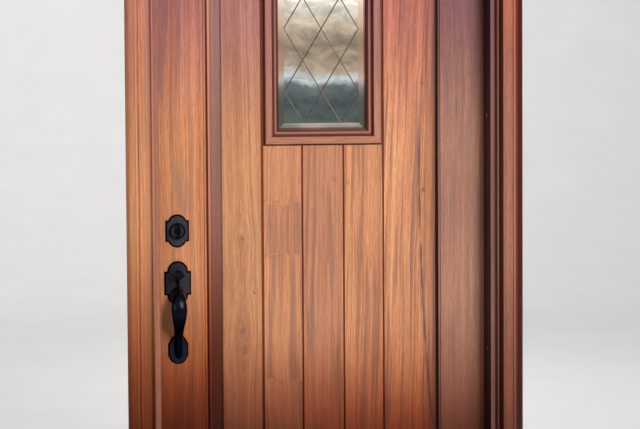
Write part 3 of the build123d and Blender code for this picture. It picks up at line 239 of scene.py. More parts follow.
def wood(name, light, dark, streak, axis="Z", seed=(0.0, 0.0, 0.0), pith=(0.10, 0.22), tilt=0.0, lines=330.0, ribbon=0.55, ribbon_w=85.0,
         ribbon_l=5.0, lean=0.0, breaks=(), knots=(), stain=(1.0, 1.0, 1.0), top=(0.77, 0.70, 1.10), foot=(0.886, 11.6, 1.5), foot_shade_tint=FOOT_SHADE, reveal_shade=None, zones=()):
    """Quarter- and flat-sawn stained mahogany under satin varnish.

    light, dark and streak are the stain's colours, axis the grain's direction, pith where the log's centre lies
    from the board, tilt how fast the rings run out along the grain, ribbon the strength of the interlocked
    stripes, lean their slope and breaks the heights where they end and shift aside.  stain scales the colours as a
    whole, top is the tint of the painted sky sheen on the upper part, and foot is the height where the painted shade at
    the foot begins, how fast it darkens and how far.  zones are functions that return (amount, colour) for stain in
    joints and spots and for painted shade and highlights in quirks, coves, beads and slopes.
    """
    t = Tree(name)
    p = t.split(t.obj())
    if axis == "Z":
        u, v, w = p[0], p[1], p[2]
    else:
        u, v, w = p[2], p[1], p[0]
    height = p[2]
    u = t.math("ADD", u, seed[0])
    v = t.math("ADD", v, seed[1])
    w = t.math("ADD", w, seed[2])
    # slow wander of the grain
    wander = t.noise(t.vec(t.math("MULTIPLY", u, 3.0), t.math("MULTIPLY", v, 3.0), t.math("MULTIPLY", w, 1.3)), 1.0, 2.0, 0.45)
    wander = t.math("MULTIPLY", t.math("SUBTRACT", wander, 0.5), 0.030)
    wave = t.noise(t.vec(t.math("MULTIPLY", u, 14.0), t.math("MULTIPLY", v, 10.0), t.math("MULTIPLY", w, 7.0)), 1.0, 1.0, 0.4)
    wander = t.math("ADD", wander, t.math("MULTIPLY", t.math("SUBTRACT", wave, 0.5), 0.006))
    uu = t.math("ADD", t.math("ADD", u, wander), t.math("MULTIPLY", w, lean))
    # knots push the grain aside
    for (kx, kz, size) in knots:
        dx = t.math("MULTIPLY", t.math("SUBTRACT", t.math("SUBTRACT", u, seed[0]), kx), 1.0 / size)
        dz = t.math("MULTIPLY", t.math("SUBTRACT", t.math("SUBTRACT", w, seed[2]), kz), 0.50 / size)
        d2 = t.math("ADD", t.math("MULTIPLY", dx, dx), t.math("MULTIPLY", dz, dz))
        push = t.math("DIVIDE", t.math("MULTIPLY", dx, size * 1.25), t.math("ADD", d2, 0.8))
        uu = t.math("SUBTRACT", uu, push)
    # growth rings about the pith
    ru = t.math("ADD", t.math("ADD", uu, pith[0]), t.math("MULTIPLY", w, tilt))
    rv = t.math("ADD", v, pith[1])
    r = t.math("SQRT", t.math("ADD", t.math("MULTIPLY", ru, ru), t.math("MULTIPLY", rv, rv)))
    ring = t.noise(None, lines, 3.0, 0.62, dims="1D", w=r)
    coarse = t.noise(None, lines * 0.22, 2.0, 0.5, dims="1D", w=t.math("ADD", r, 3.0))
    # interlocked ribbon stripes, broken along the grain
    along = t.math("MULTIPLY", w, ribbon_l)
    if breaks:
        lobe = t.noise(t.vec(t.math("MULTIPLY", u, 75.0), 0.0, t.math("MULTIPLY", w, 1.5)), 1.0, 1.0, 0.4)
        level = t.math("ADD", height, t.math("MULTIPLY", t.math("SUBTRACT", lobe, 0.5), 0.045))
        for z in breaks:
            along = t.math("ADD", along, t.range(level, z - 0.006, z + 0.006, 0.0, 2.7))
    rib = t.noise(t.vec(t.math("MULTIPLY", uu, ribbon_w), t.math("MULTIPLY", v, 12.0), along), 1.0, 2.0, 0.45)
    rib2 = t.noise(t.vec(t.math("MULTIPLY", uu, ribbon_w * 2.6), t.math("MULTIPLY", v, 20.0), t.math("MULTIPLY", w, ribbon_l * 2.2)), 1.0, 2.0, 0.5)
    # fine streaks and pores
    fine = t.noise(t.vec(t.math("MULTIPLY", uu, 620.0), t.math("MULTIPLY", v, 620.0), t.math("MULTIPLY", w, 26.0)), 1.0, 2.0, 0.6)
    pore = t.noise(t.vec(t.math("MULTIPLY", uu, 1500.0), t.math("MULTIPLY", v, 1500.0), t.math("MULTIPLY", w, 75.0)), 1.0, 1.0, 0.5)
    pores = t.range(pore, 0.60, 0.72)
    tone = t.noise(t.vec(t.math("MULTIPLY", uu, 9.0), t.math("MULTIPLY", v, 4.0), t.math("MULTIPLY", w, 2.2)), 1.0, 2.0, 0.5)
    # body colour from rings, streaks and slow tone
    f = t.math("MULTIPLY", t.math("SUBTRACT", ring, 0.5), 1.1)
    f = t.math("ADD", f, t.math("MULTIPLY", t.math("SUBTRACT", coarse, 0.5), 0.8))
    f = t.math("ADD", f, t.math("MULTIPLY", t.math("SUBTRACT", fine, 0.5), 1.3))
    f = t.math("ADD", f, t.math("MULTIPLY", t.math("SUBTRACT", tone, 0.5), 0.9))
    f = t.math("ADD", f, 0.45, clamp=True)
    col = t.mix(f, light, dark)
    # greyish ribbon streaks
    m = t.math("MULTIPLY", t.range(rib, 0.47, 0.66), ribbon)
    m = t.math("ADD", m, t.math("MULTIPLY", t.range(rib2, 0.52, 0.72), ribbon * 0.45), clamp=True)
    col = t.mix(m, col, streak)
    for (kx, kz, size) in knots:
        dx = t.math("SUBTRACT", t.math("SUBTRACT", u, seed[0]), kx)
        dx = t.math("MULTIPLY", dx, 0.75)
        dz = t.math("SUBTRACT", t.math("SUBTRACT", w, seed[2]), kz)
        d = t.math("SQRT", t.math("ADD", t.math("MULTIPLY", dx, dx), t.math("MULTIPLY", dz, dz)))
        rag = t.noise(t.vec(t.math("MULTIPLY", u, 130.0), 0.0, t.math("MULTIPLY", w, 190.0)), 1.0, 2.0, 0.6)
        d = t.math("ADD", d, t.math("MULTIPLY", rag, size * 0.9))
        d = t.math("ADD", d, t.math("MULTIPLY", fine, size * 0.35))
        halo = t.range(d, size * 0.45, size * 1.35, 0.85 if size < 0.010 else 0.42, 0.0)
        col = t.mix(halo, col, tuple(c * k for c, k in zip(dark, (0.40, 0.42, 0.50))))
    # pores take up the stain
    col = t.mix(t.math("MULTIPLY", pores, 0.42), col, tuple(c * 0.45 for c in dark))
    if stain != (1.0, 1.0, 1.0):
        col = t.mix(1.0, col, stain, "MULTIPLY")
    if reveal_shade is not None:
        # painted shade: faces across the wall, inside the reveal, are painted darker, and darker still towards the foot
        n = t.split(t.new("ShaderNodeNewGeometry").outputs["Normal"])
        side = t.range(t.math("ABSOLUTE", n[0]), 0.75, 0.95)
        shade = t.mix(t.range(height, 0.84, 1.20), tuple(c * k for c, k in zip(reveal_shade, (0.20, 0.14, 0.30))), reveal_shade)
        col = t.mix(t.math("MULTIPLY", side, 0.975), col, t.mix(1.0, shade, t.mix(fine, (1.0, 1.0, 1.0), (1.5, 1.5, 1.5)), "MULTIPLY"))
    for zone in zones:
        amount, tint = zone(t, p)
        col = t.mix(amount, col, t.mix(fine, tint, tuple(c * 1.35 for c in tint)))
    # painted shade: the foot of the door is painted darker and redder; painted sky sheen: its upper part a little paler
    # and pinker
    patch = t.noise(t.vec(t.math("MULTIPLY", p[0], 7.0), t.math("MULTIPLY", p[1], 3.0), t.math("MULTIPLY", p[2], 4.0)), 1.0, 2.0, 0.5)
    hz = t.math("ADD", height, t.math("MULTIPLY", t.math("SUBTRACT", patch, 0.5), 0.06))
    below = t.math("MAXIMUM", t.math("SUBTRACT", foot[0], hz), 0.0)
    depth = t.math("MINIMUM", t.math("MULTIPLY", t.math("MULTIPLY", below, below), foot[1]), foot[2])
    # the painted foot shade is full on the street side and a quarter as strong on the room side; the painted sky sheen
    # is on the street side only
    street = t.range(p[1], 0.030, 0.042, 1.0, 0.0)
    depth = t.math("MULTIPLY", depth, t.math("MULTIPLY_ADD", street, 0.75, 0.25))
    col = t.mix(1.0, col, t.vec(*[t.math("POWER", c, depth) for c in foot_shade_tint]), "MULTIPLY")
    # painted sky sheen: the upper part on the street side is tinted by top
    top_sheen = t.math("MULTIPLY", t.range(height, 1.25, 1.80), t.range(height, 1.80, 2.10, 1.0, 0.45))
    top_sheen = t.math("MULTIPLY", top_sheen, street)
    col = t.mix(top_sheen, col, t.mix(1.0, col, top, "MULTIPLY"))
    t.set(Base_Color=col)
    rough = t.math("ADD", t.math("MULTIPLY", fine, 0.22), 0.34)
    rough = t.math("ADD", rough, t.math("MULTIPLY", pores, 0.15))
    t.set(Roughness=rough)
    t.bsdf.inputs["Specular IOR Level"].default_value = 0.26
    t.bsdf.inputs["Specular Tint"].default_value = (1.0, 0.66, 0.52, 1.0)
    t.bsdf.inputs["Coat Weight"].default_value = 0.05
    t.bsdf.inputs["Coat Roughness"].default_value = 0.32
    h = t.math("SUBTRACT", t.math("MULTIPLY", fine, 0.5), t.math("MULTIPLY", pores, 1.0))
    h = t.math("ADD", h, t.math("MULTIPLY", ring, 0.35))
    t.set(Normal=t.bump(h, 0.35, 0.0004))
    return t.mat


STILE_JOINT = joint(0.0148, 0.0160, 0.0562, 0.93, (0.38, 0.078, 0.026), 0.3265)
BOARD_JOINT = joint()

give("lock_stile", wood("stile_lock_wood", lin(226, 148, 98), lin(170, 98, 62), lin(160, 112, 86), stain=(1.12, 1.22, 1.34), top=(0.65, 0.58, 1.12), seed=(0.31, 0.02, 0.4), pith=(0.9, 0.15),
                        ribbon=0.6, ribbon_w=62, ribbon_l=3.0, knots=((-0.4467, 1.247, 0.006),), foot=(1.02, 8.1, 1.6), foot_shade_tint=RED_FOOT_SHADE,
                        zones=(STILE_JOINT, spot(-0.402, 1.235, 0.006, 0.055, 0.55, (0.27, 0.21, 0.14)), spot(-0.386, 1.205, 0.005, 0.060, 0.5, (0.25, 0.20, 0.14)),
                               spot(-0.373, 1.27, 0.004, 0.05, 0.45, (0.28, 0.19, 0.13)))))
# the warm dark fade at the hinge stile's right edge is painted shadow of the frame
give("hinge_stile", wood("stile_hinge_wood", lin(200, 138, 110), lin(154, 98, 78), lin(146, 106, 90), seed=(1.7, 0.05, 1.9), pith=(1.2, 0.2),
                         ribbon=0.5, ribbon_w=50, ribbon_l=3.2, top=(0.45, 0.35, 0.60), foot=(0.951, 6.1, 1.2), stain=(0.94, 1.09, 1.22),
                         zones=(joint(0.0148, 0.0160, 0.0562, 0.95, (0.060, 0.014, 0.008), 0.3265), strip(0, 0.3190, 0.3262, 0.45, (0.20, 0.10, 0.08)), fade(0.422, 0.448, 0.50, (0.30, 0.075, 0.045)), spot(0.372, 1.42, 0.004, 0.05, 0.5, (0.10, 0.085, 0.07)))))
# painted highlight: an orange and a pale pink strip on the fillet and bead beside the lock stile
FILLET_HIGHLIGHT = (lin(182, 108, 68), lin(184, 126, 98))
give("narrow_board", wood("narrow_board_wood", lin(168, 114, 98), lin(116, 66, 54), lin(128, 98, 92), seed=(2.2, 0.01, 0.7), pith=(1.0, 0.3),
                          ribbon=0.6, ribbon_w=90, ribbon_l=3.0, foot=(1.232, 4.4, 2.6), foot_shade_tint=(0.33, 0.13, 0.093), top=(1.10, 1.24, 1.56), stain=(1.11, 1.05, 1.0),
                          zones=(joint(x_to=-0.2950), strip(1, 0.0150, 0.0172, 0.9, FILLET_HIGHLIGHT[0]), strip(0, 0.3085, 0.3140, 0.85, FILLET_HIGHLIGHT[1], y_max=0.0176),
                                 strip(0, 0.3040, 0.3072, 0.55, (0.16, 0.075, 0.06), y_max=0.0182),
                                 strip(0, 0.2960, 0.3030, 0.40, (0.20, 0.155, 0.15), 0.003, y_max=0.0182),
                                 strip(0, 0.2770, 0.2880, 0.45, (0.17, 0.135, 0.13), 0.003))))
give("left_plank", wood("left_plank_wood", lin(230, 160, 112), lin(174, 108, 72), lin(168, 118, 92), stain=(0.97, 1.08, 1.18), top=(0.655, 0.60, 1.12), foot=(0.95, 8.3, 1.4), seed=(0.22, -0.02, 0.11), pith=(0.02, 0.035),
                        tilt=0.012, lines=240, ribbon=0.25, ribbon_w=60, ribbon_l=2.2,
                        knots=((-0.2257, 1.074, 0.013), (-0.1908, 0.926, 0.007), (-0.2250, 0.824, 0.013), (-0.2180, 0.778, 0.011)),
                        zones=(joint(x_from=-0.2600), spot(-0.2290, 1.070, 0.010, 0.018, 0.55, (0.27, 0.16, 0.13)),
                               spot(-0.2250, 0.820, 0.014, 0.016, 0.5, (0.24, 0.14, 0.12)), spot(-0.2200, 0.775, 0.013, 0.012, 0.5, (0.22, 0.13, 0.12)))))
give("centre_left_plank", wood("centre_left_wood", lin(232, 154, 110), lin(182, 108, 74), lin(148, 102, 86), stain=(0.965, 1.12, 1.20), seed=(3.1, 0.03, 2.3), pith=(0.7, 0.1),
                               ribbon=0.56, ribbon_w=62, ribbon_l=2.2, lean=-0.005, breaks=(1.169, 1.024, 0.684), zones=(BOARD_JOINT,)))
give("centre_middle_plank", wood("centre_middle_wood", lin(224, 150, 112), lin(172, 108, 78), lin(148, 102, 84), stain=(0.90, 0.99, 1.06), foot_shade_tint=WARM_FOOT_SHADE, seed=(4.6, 0.07, 3.7), pith=(0.8, 0.2),
                                 ribbon=0.55, ribbon_w=80, ribbon_l=2.6, lean=-0.008, zones=(BOARD_JOINT, spot(0.030, 1.23, 0.010, 0.012, 0.5, (0.24, 0.12, 0.10)))))
give("centre_right_plank", wood("centre_right_wood", lin(238, 160, 112), lin(178, 104, 70), lin(154, 104, 80), stain=(0.945, 1.05, 1.18), foot_shade_tint=WARM_FOOT_SHADE, seed=(5.3, 0.02, 5.1), pith=(0.6, 0.1),
                                ribbon=0.62, ribbon_w=84, ribbon_l=2.2, lean=-0.015, zones=(BOARD_JOINT, spot(0.066, 1.22, 0.008, 0.014, 0.4, (0.26, 0.13, 0.10)))))
give("right_plank", wood("right_plank_wood", lin(242, 164, 110), lin(160, 92, 60), lin(148, 98, 80), stain=(1.02, 1.12, 1.32), top=(0.78, 0.55, 0.80), foot_shade_tint=WARM_FOOT_SHADE, seed=(6.4, 0.06, 6.6), pith=(0.35, 0.1),
                         ribbon=0.70, ribbon_w=80, ribbon_l=2.0, lean=-0.035, knots=((0.2780, 1.195, 0.009),),
                         zones=(BOARD_JOINT, joint(0.0175, 0.0185, 0.0530, 0.97, (0.020, 0.0025, 0.0015), x_from=0.300), fade(0.268, 0.300, 0.40, (0.26, 0.115, 0.075), 0.0182),
                                fade(0.298, 0.308, 0.60, (0.120, 0.040, 0.028), 0.0182), strip(0, 0.3105, 0.3300, 0.92, (0.020, 0.0022, 0.0012)),
                                lines_of(0.272, 0.312, 420.0, 0.60, (0.135, 0.055, 0.040)),
                                vein(0.2662, 1.25, 0.0725, 0.0085, 0.55, 1.36, 0.50, (0.110, 0.080, 0.075)), vein(0.2668, 1.25, 0.0725, 0.0030, 0.57, 1.32, 0.70, (0.050, 0.036, 0.042)),
                                spot(0.2790, 1.196, 0.0035, 0.010, 0.6, (0.10, 0.10, 0.05)), spot(0.2770, 1.488, 0.006, 0.0022, 0.7, (0.06, 0.03, 0.02), 0.3))))
give("top_rail", wood("top_rail_wood", lin(214, 152, 118), lin(158, 104, 80), lin(156, 118, 100), axis="X", seed=(0.6, 0.2, 7.0), pith=(0.9, 0.1)))
give("bottom_rail", wood("bottom_rail_wood", lin(214, 146, 106), lin(158, 98, 70), lin(156, 118, 98), axis="X", seed=(1.6, 0.2, 8.0), pith=(0.5, 0.1)))

# mouldings of the light: a bright face, with painted shade in the quirk and cove, on the bead, at the lip by the glass
# and as a shadow line at the outer arris
LITE_X, LITE_LOW, LITE_HIGH = 0.1596, 1.3245, 1.9515
MOULD = dict(stain=(0.78, 0.87, 1.02), light=lin(222, 148, 110), dark=lin(170, 104, 74), streak=lin(156, 112, 92), ribbon=0.3)
QUIRK_SHADE, BEAD_SHADE, LIP_SHADOW = (0.085, 0.012, 0.005), (0.36, 0.15, 0.10), (0.045, 0.005, 0.002)
RIM_SHADOW = {"left": 0.0026, "right": 0.0010, "bottom": 0.0008, "top": 0.0008}


def light_zones(kind):
    """Painted shade in bands across a moulding, by the distance u from its outer arris."""
    def u_of(t, p):
        if kind in ("left", "right"):
            return t.math("SUBTRACT", LITE_X, t.math("ABSOLUTE", p[0]))
        if kind == "bottom":
            return t.math("SUBTRACT", p[2], LITE_LOW)
        return t.math("SUBTRACT", LITE_HIGH, p[2])

    def make(a, b, amount, tint):
        return lambda t, p: (t.math("MULTIPLY", band(t, u_of(t, p), a, b, 0.0003), amount), tint)

    # painted shade on the moulding's outer side face
    def outer(t, p):
        return t.math("MULTIPLY", t.range(p[1], 0.0128, 0.0145), t.range(u_of(t, p), 0.0004, 0.0012, 0.94, 0.0)), MAROON_SHADE
    return (make(-0.002, RIM_SHADOW[kind], 0.88, (0.085, 0.014, 0.005)), make(0.0202, 0.0262, 0.94, QUIRK_SHADE), make(0.0262, 0.0330, 0.70, BEAD_SHADE), make(0.0330, 0.0400, 0.95, LIP_SHADOW), outer)


for n, ax, sd in (("left", "Z", 0.3), ("right", "Z", 1.3), ("top", "X", 2.3), ("bottom", "X", 3.3)):
    give("lite_moulding_" + n, wood("lite_moulding_%s_wood" % n, axis=ax, seed=(sd, 0.1, sd * 2), pith=(0.8, 0.2), zones=light_zones(n), **MOULD))
    give("inner_moulding_" + n, wood("inner_moulding_%s_wood" % n, axis=ax, seed=(sd + 5, 0.1, sd * 3), pith=(0.8, 0.2),
                                     zones=light_zones(n)[3:4], **MOULD))

# casing: painted shade in the quirks, cove and on the outer slope, darkest on the hinge side; a painted highlight on
# the lock side's outer bead
W0 = 0.4615
CAS = dict(light=lin(228, 154, 106), dark=lin(176, 104, 68), streak=lin(160, 110, 84), ribbon=0.4)
give("lock_side_casing", wood("casing_lock_wood", seed=(7.7, 0.1, 0.2), pith=(0.7, 0.3), ribbon_w=90, ribbon_l=2.4, foot=(1.184, 4.34, 1.5), foot_shade_tint=RED_FOOT_SHADE, stain=(1.06, 1.16, 1.23), top=(0.82, 0.69, 1.03),
                              # painted shade at the inner edge, in the ogee and on the outer slope; the orange strip is
                              # a painted highlight on the outer bead
                              zones=(strip(0, W0 - 0.001, W0 + 0.0002, 0.10, MAROON_SHADE), strip(0, W0 + 0.0440, W0 + 0.0492, 0.60, (0.83, 0.40, 0.205)),
                                     strip(0, W0 + 0.0002, W0 + 0.0122, 0.55, (0.30, 0.15, 0.105)), strip(0, W0 + 0.0122, W0 + 0.0215, 0.45, (0.33, 0.165, 0.11), 0.003),
                                     strip(0, W0 + 0.0002, W0 + 0.0030, 0.30, (0.50, 0.26, 0.17)),
                                     strip(0, W0 + 0.0620, 0.54, 0.35, (0.24, 0.09, 0.04), 0.002)), **CAS))
# painted shade: near black at the reveal edge and in the ogee, darker on the inner bead and in the quirk, painted
# shadow over the outer slope; a mauve painted sheen on the outer bead
give("hinge_side_casing", wood("casing_hinge_wood", lin(214, 128, 92), lin(156, 84, 60), lin(150, 98, 76), seed=(8.8, 0.1, 0.4), pith=(0.7, 0.3),
                               ribbon_w=90, ribbon_l=2.4, ribbon=0.4, foot=(1.22, 1.69, 1.0), top=(1.05, 0.68, 0.58), stain=(0.72, 0.99, 1.27),
                               zones=(strip(0, W0 - 0.001, W0 + 0.0002, 0.9, PITCH_SHADE), strip(0, W0 + 0.0060, W0 + 0.0122, 0.93, PITCH_SHADE),
                                      strip(0, W0 + 0.0002, W0 + 0.0060, 0.6, (0.12, 0.06, 0.055)), strip(0, W0 + 0.0380, W0 + 0.0397, 0.55, MAROON_SHADE),
                                      strip(0, W0 + 0.0397, W0 + 0.0472, 0.5, (0.34, 0.16, 0.14)),
                                      strip(0, W0 + 0.0472, W0 + 0.0530, 0.96, (0.125, 0.0140, 0.0060), 0.0015), strip(0, W0 + 0.0530, 0.54, 0.97, (0.055, 0.0030, 0.0014), 0.0015))))
ZC0 = 2.0805
# painted shade in the ogee, the quirk and on the outer slope of the head casing
give("head_casing", wood("casing_head_wood", axis="X", seed=(9.9, 0.1, 0.6), pith=(0.7, 0.3),
                         zones=(strip(2, ZC0 + 0.0060, ZC0 + 0.0122, 0.8, MAROON_SHADE), strip(2, ZC0 + 0.0380, ZC0 + 0.0397, 0.6, MAROON_SHADE),
                                strip(2, ZC0 + 0.0472, 2.2, 0.5, (0.17, 0.05, 0.025))), **CAS))
# jambs: painted shade on the faces across the reveal, darker towards the foot; the hinge jamb is painted darker, with
# painted shade by its casing, and the strike jamb lighter, as shaded and lit copies of one wood
JAMB = dict(light=lin(176, 122, 104), dark=lin(126, 80, 66), streak=lin(130, 96, 86), ribbon=0.3, reveal_shade=(0.0078, 0.0021, 0.0056), foot=(0.93, 2.2, 1.0))
give("hinge_jamb", wood("jamb_hinge_wood", stain=(0.74, 0.77, 0.84), seed=(10.1, 0.1, 1.2), pith=(0.9, 0.2), zones=(strip(0, 0.4580, W0 + 0.02, 0.6, MAROON_SHADE, y_max=-0.050),), **JAMB))
give("strike_jamb", wood("jamb_strike_wood", stain=(1.30, 1.30, 1.15), seed=(11.1, 0.1, 2.2), pith=(0.9, 0.2), **JAMB))
give("head_jamb", wood("jamb_head_wood", axis="X", seed=(12.1, 0.1, 3.2), pith=(0.9, 0.2), **JAMB))
give("sill", wood("sill_wood", lin(180, 118, 88), lin(120, 74, 54), lin(128, 92, 78), axis="X", seed=(13.1, 0.1, 4.2), pith=(0.9, 0.2), ribbon=0.3,
                  foot=(0.93, 0.45, 0.6)))


# ------------------------------------------------------------------ metals
def black_iron(name, base=(0.0042, 0.0044, 0.0070), wear=0.4, face_sheen=(0.040, 0.034, 0.045), gloss=0.22, sheen=0.20, rim=1.0, bar_shade=None, light_across=None, worn=None, tint=(0.58, 0.70, 1.0)):
    """Powder-coated satin black with a fine orange-peel texture, a painted sheen on the broad faces, darker arrises and
    rubbed edges.
    """
    t = Tree(name)
    v = t.obj()
    grain = t.noise(v, 2600.0, 2.0, 0.6)
    patch = t.noise(v, 60.0, 3.0, 0.55)
    fleck = t.noise(v, 420.0, 2.0, 0.5)
    geo = t.new("ShaderNodeNewGeometry")
    edge = t.range(geo.outputs["Pointiness"], 0.53, 0.60)
    rub = t.math("MULTIPLY", t.math("MULTIPLY", edge, t.range(fleck, 0.52, 0.70)), wear)
    col = t.mix(t.range(patch, 0.35, 0.7), base, tuple(c * 1.8 for c in base))
    # painted sheen: broad faces to the street are painted lighter, flecked, for the bright front they reflect
    n = t.split(geo.outputs["True Normal"])
    face = t.range(t.math("ABSOLUTE", n[1]), 0.985, 0.999)
    col = t.mix(t.math("MULTIPLY", face, t.range(fleck, 0.30, 0.75, 0.5, 1.0)), col, face_sheen)
    p = t.split(v)
    if light_across is not None:
        # painted light: the plate is painted lighter towards its right side
        lift = t.range(p[0], light_across[0], light_across[1], light_across[2], light_across[3])
        col = t.mix(1.0, col, t.vec(lift, lift, lift), "MULTIPLY")
    if bar_shade is not None:
        # painted shade in the sunk bar across the turning disc
        k = t.math("MULTIPLY", t.range(t.math("ABSOLUTE", t.math("SUBTRACT", p[0], bar_shade[0])), bar_shade[2] - 0.001, bar_shade[2] + 0.001, 1.0, 0.0),
                   t.range(t.math("ABSOLUTE", t.math("SUBTRACT", p[2], bar_shade[1])), bar_shade[3] - 0.002, bar_shade[3] + 0.002, 1.0, 0.0))
        col = t.mix(t.math("MULTIPLY", k, 0.95), col, (0.0010, 0.0009, 0.0028))
    col = t.mix(rub, col, (0.075, 0.055, 0.045))
    t.set(Base_Color=col)
    t.set(Roughness=t.math("ADD", t.math("MULTIPLY", patch, 0.12), t.math("ADD", t.math("MULTIPLY", grain, 0.08), sheen)))
    t.bsdf.inputs["Metallic"].default_value = 0.0
    if worn is not None:
        # the upper part is handled most and shines
        t.set(Specular_IOR_Level=t.range(p[2], worn[0], worn[1], gloss * 0.6, gloss * 2.6))
    elif rim < 1.0:
        t.set(Specular_IOR_Level=t.range(t.math("ABSOLUTE", n[1]), 0.97, 0.995, gloss * rim, gloss))
    else:
        t.bsdf.inputs["Specular IOR Level"].default_value = gloss
    t.bsdf.inputs["Specular Tint"].default_value = (*tint, 1.0)
    t.set(Normal=t.bump(grain, 0.25, 0.00025))
    return t.mat


def plain_metal(name, col, rough, scale=900.0, stretch=(1, 1, 1)):
    """Bare or plated metal with fine scratches."""
    t = Tree(name)
    p = t.split(t.obj())
    v = t.vec(*[t.math("MULTIPLY", c, s) for c, s in zip(p, stretch)])
    scratch = t.noise(v, scale, 3.0, 0.6)
    tarnish = t.noise(t.obj(), 70.0, 3.0, 0.6)
    t.set(Base_Color=t.mix(t.range(tarnish, 0.35, 0.75), col, tuple(c * 0.62 for c in col)))
    t.bsdf.inputs["Metallic"].default_value = 1.0
    t.set(Roughness=t.math("ADD", t.math("MULTIPLY", scratch, 0.25), rough))
    t.set(Normal=t.bump(scratch, 0.2, 0.0001))
    return t.mat


iron = black_iron("matte_black_iron")
for n in ("deadbolt_outer_plate", "deadbolt_cylinder", "deadbolt_inner_plate", "thumb_turn", "handle_upper_plate", "thumb_piece", "pull_grip", "foot_rosette",
          "inner_rose", "inside_lever", "upper_hinge_frame_plate", "middle_hinge_frame_plate", "lower_hinge_frame_plate", "upper_hinge_leaf_plate",
          "middle_hinge_leaf_plate", "lower_hinge_leaf_plate", "hinge_pins", "latch_strike_plate", "deadbolt_strike_plate", "frame_plate_screws",
          "leaf_plate_screws"):
    give(n, iron)
give("pull_grip", black_iron("grip_black", (0.0004, 0.0003, 0.0010), 0.06, (0.0004, 0.0003, 0.0010), 0.10, 0.16, tint=(0.46, 0.60, 1.0), worn=(0.855, 0.900)))
give("thumb_piece", black_iron("thumb_black", (0.0030, 0.0026, 0.0060), 0.3, (0.0060, 0.0050, 0.0090), 0.16))
LOCK = (-0.397, 1.0977)
give("foot_rosette", black_iron("foot_black", (0.0016, 0.0014, 0.0026), 0.3, (0.0100, 0.0090, 0.0190), 0.20, rim=0.25))
give("deadbolt_outer_plate", black_iron("deadbolt_plate_black", (0.0016, 0.0012, 0.0020), 0.25, (0.068, 0.057, 0.066), 0.22, rim=0.15))
give("handle_upper_plate", black_iron("handle_plate_black", (0.0016, 0.0012, 0.0020), 0.25, (0.042, 0.036, 0.047), 0.22, rim=0.20, light_across=(-0.430, -0.362, 0.55, 1.35)))
give("deadbolt_cylinder", black_iron("cylinder_black", (0.0022, 0.0020, 0.0034), 0.4, (0.0400, 0.0340, 0.0430), 0.20, rim=0.4, bar_shade=(*LOCK, 0.0070, 0.0210)))
give("key_plug", black_iron("plug_black", (0.0035, 0.0030, 0.0055), 0.6, (0.0120, 0.0110, 0.0160), 0.12, bar_shade=(*LOCK, 0.0070, 0.0210)))
zinc = plain_metal("zinc_plate", (0.55, 0.55, 0.57), 0.25)
for n in ("deadbolt_case", "latch_case", "through_screws", "frame_corner_screws"):
    give(n, zinc)
brass = plain_metal("satin_brass_metal", (0.62, 0.45, 0.22), 0.2, 700.0, (0.1, 1, 1))
for n in ("deadbolt_bolt", "latch_bolt"):
    give(n, brass)
give("glass_spacer", plain_metal("mill_aluminium_metal", (0.70, 0.71, 0.73), 0.3, 500.0, (1, 1, 0.1)))


# ------------------------------------------------------------------ seals
def rubber(name, col):
    t = Tree(name)
    v = t.obj()
    dust = t.noise(v, 35.0, 3.0, 0.6)
    grain = t.noise(v, 1400.0, 2.0, 0.5)
    t.set(Base_Color=t.mix(t.math("MULTIPLY", t.range(dust, 0.45, 0.75), 0.35), col, (0.10, 0.08, 0.065)))
    t.set(Roughness=t.math("ADD", t.math("MULTIPLY", grain, 0.2), 0.55))
    t.set(Normal=t.bump(grain, 0.2, 0.0002))
    return t.mat


seal = rubber("brown_rubber", (0.020, 0.015, 0.014))
for n in ("hinge_side_seal", "lock_side_seal", "head_seal", "door_sweep"):
    give(n, seal)


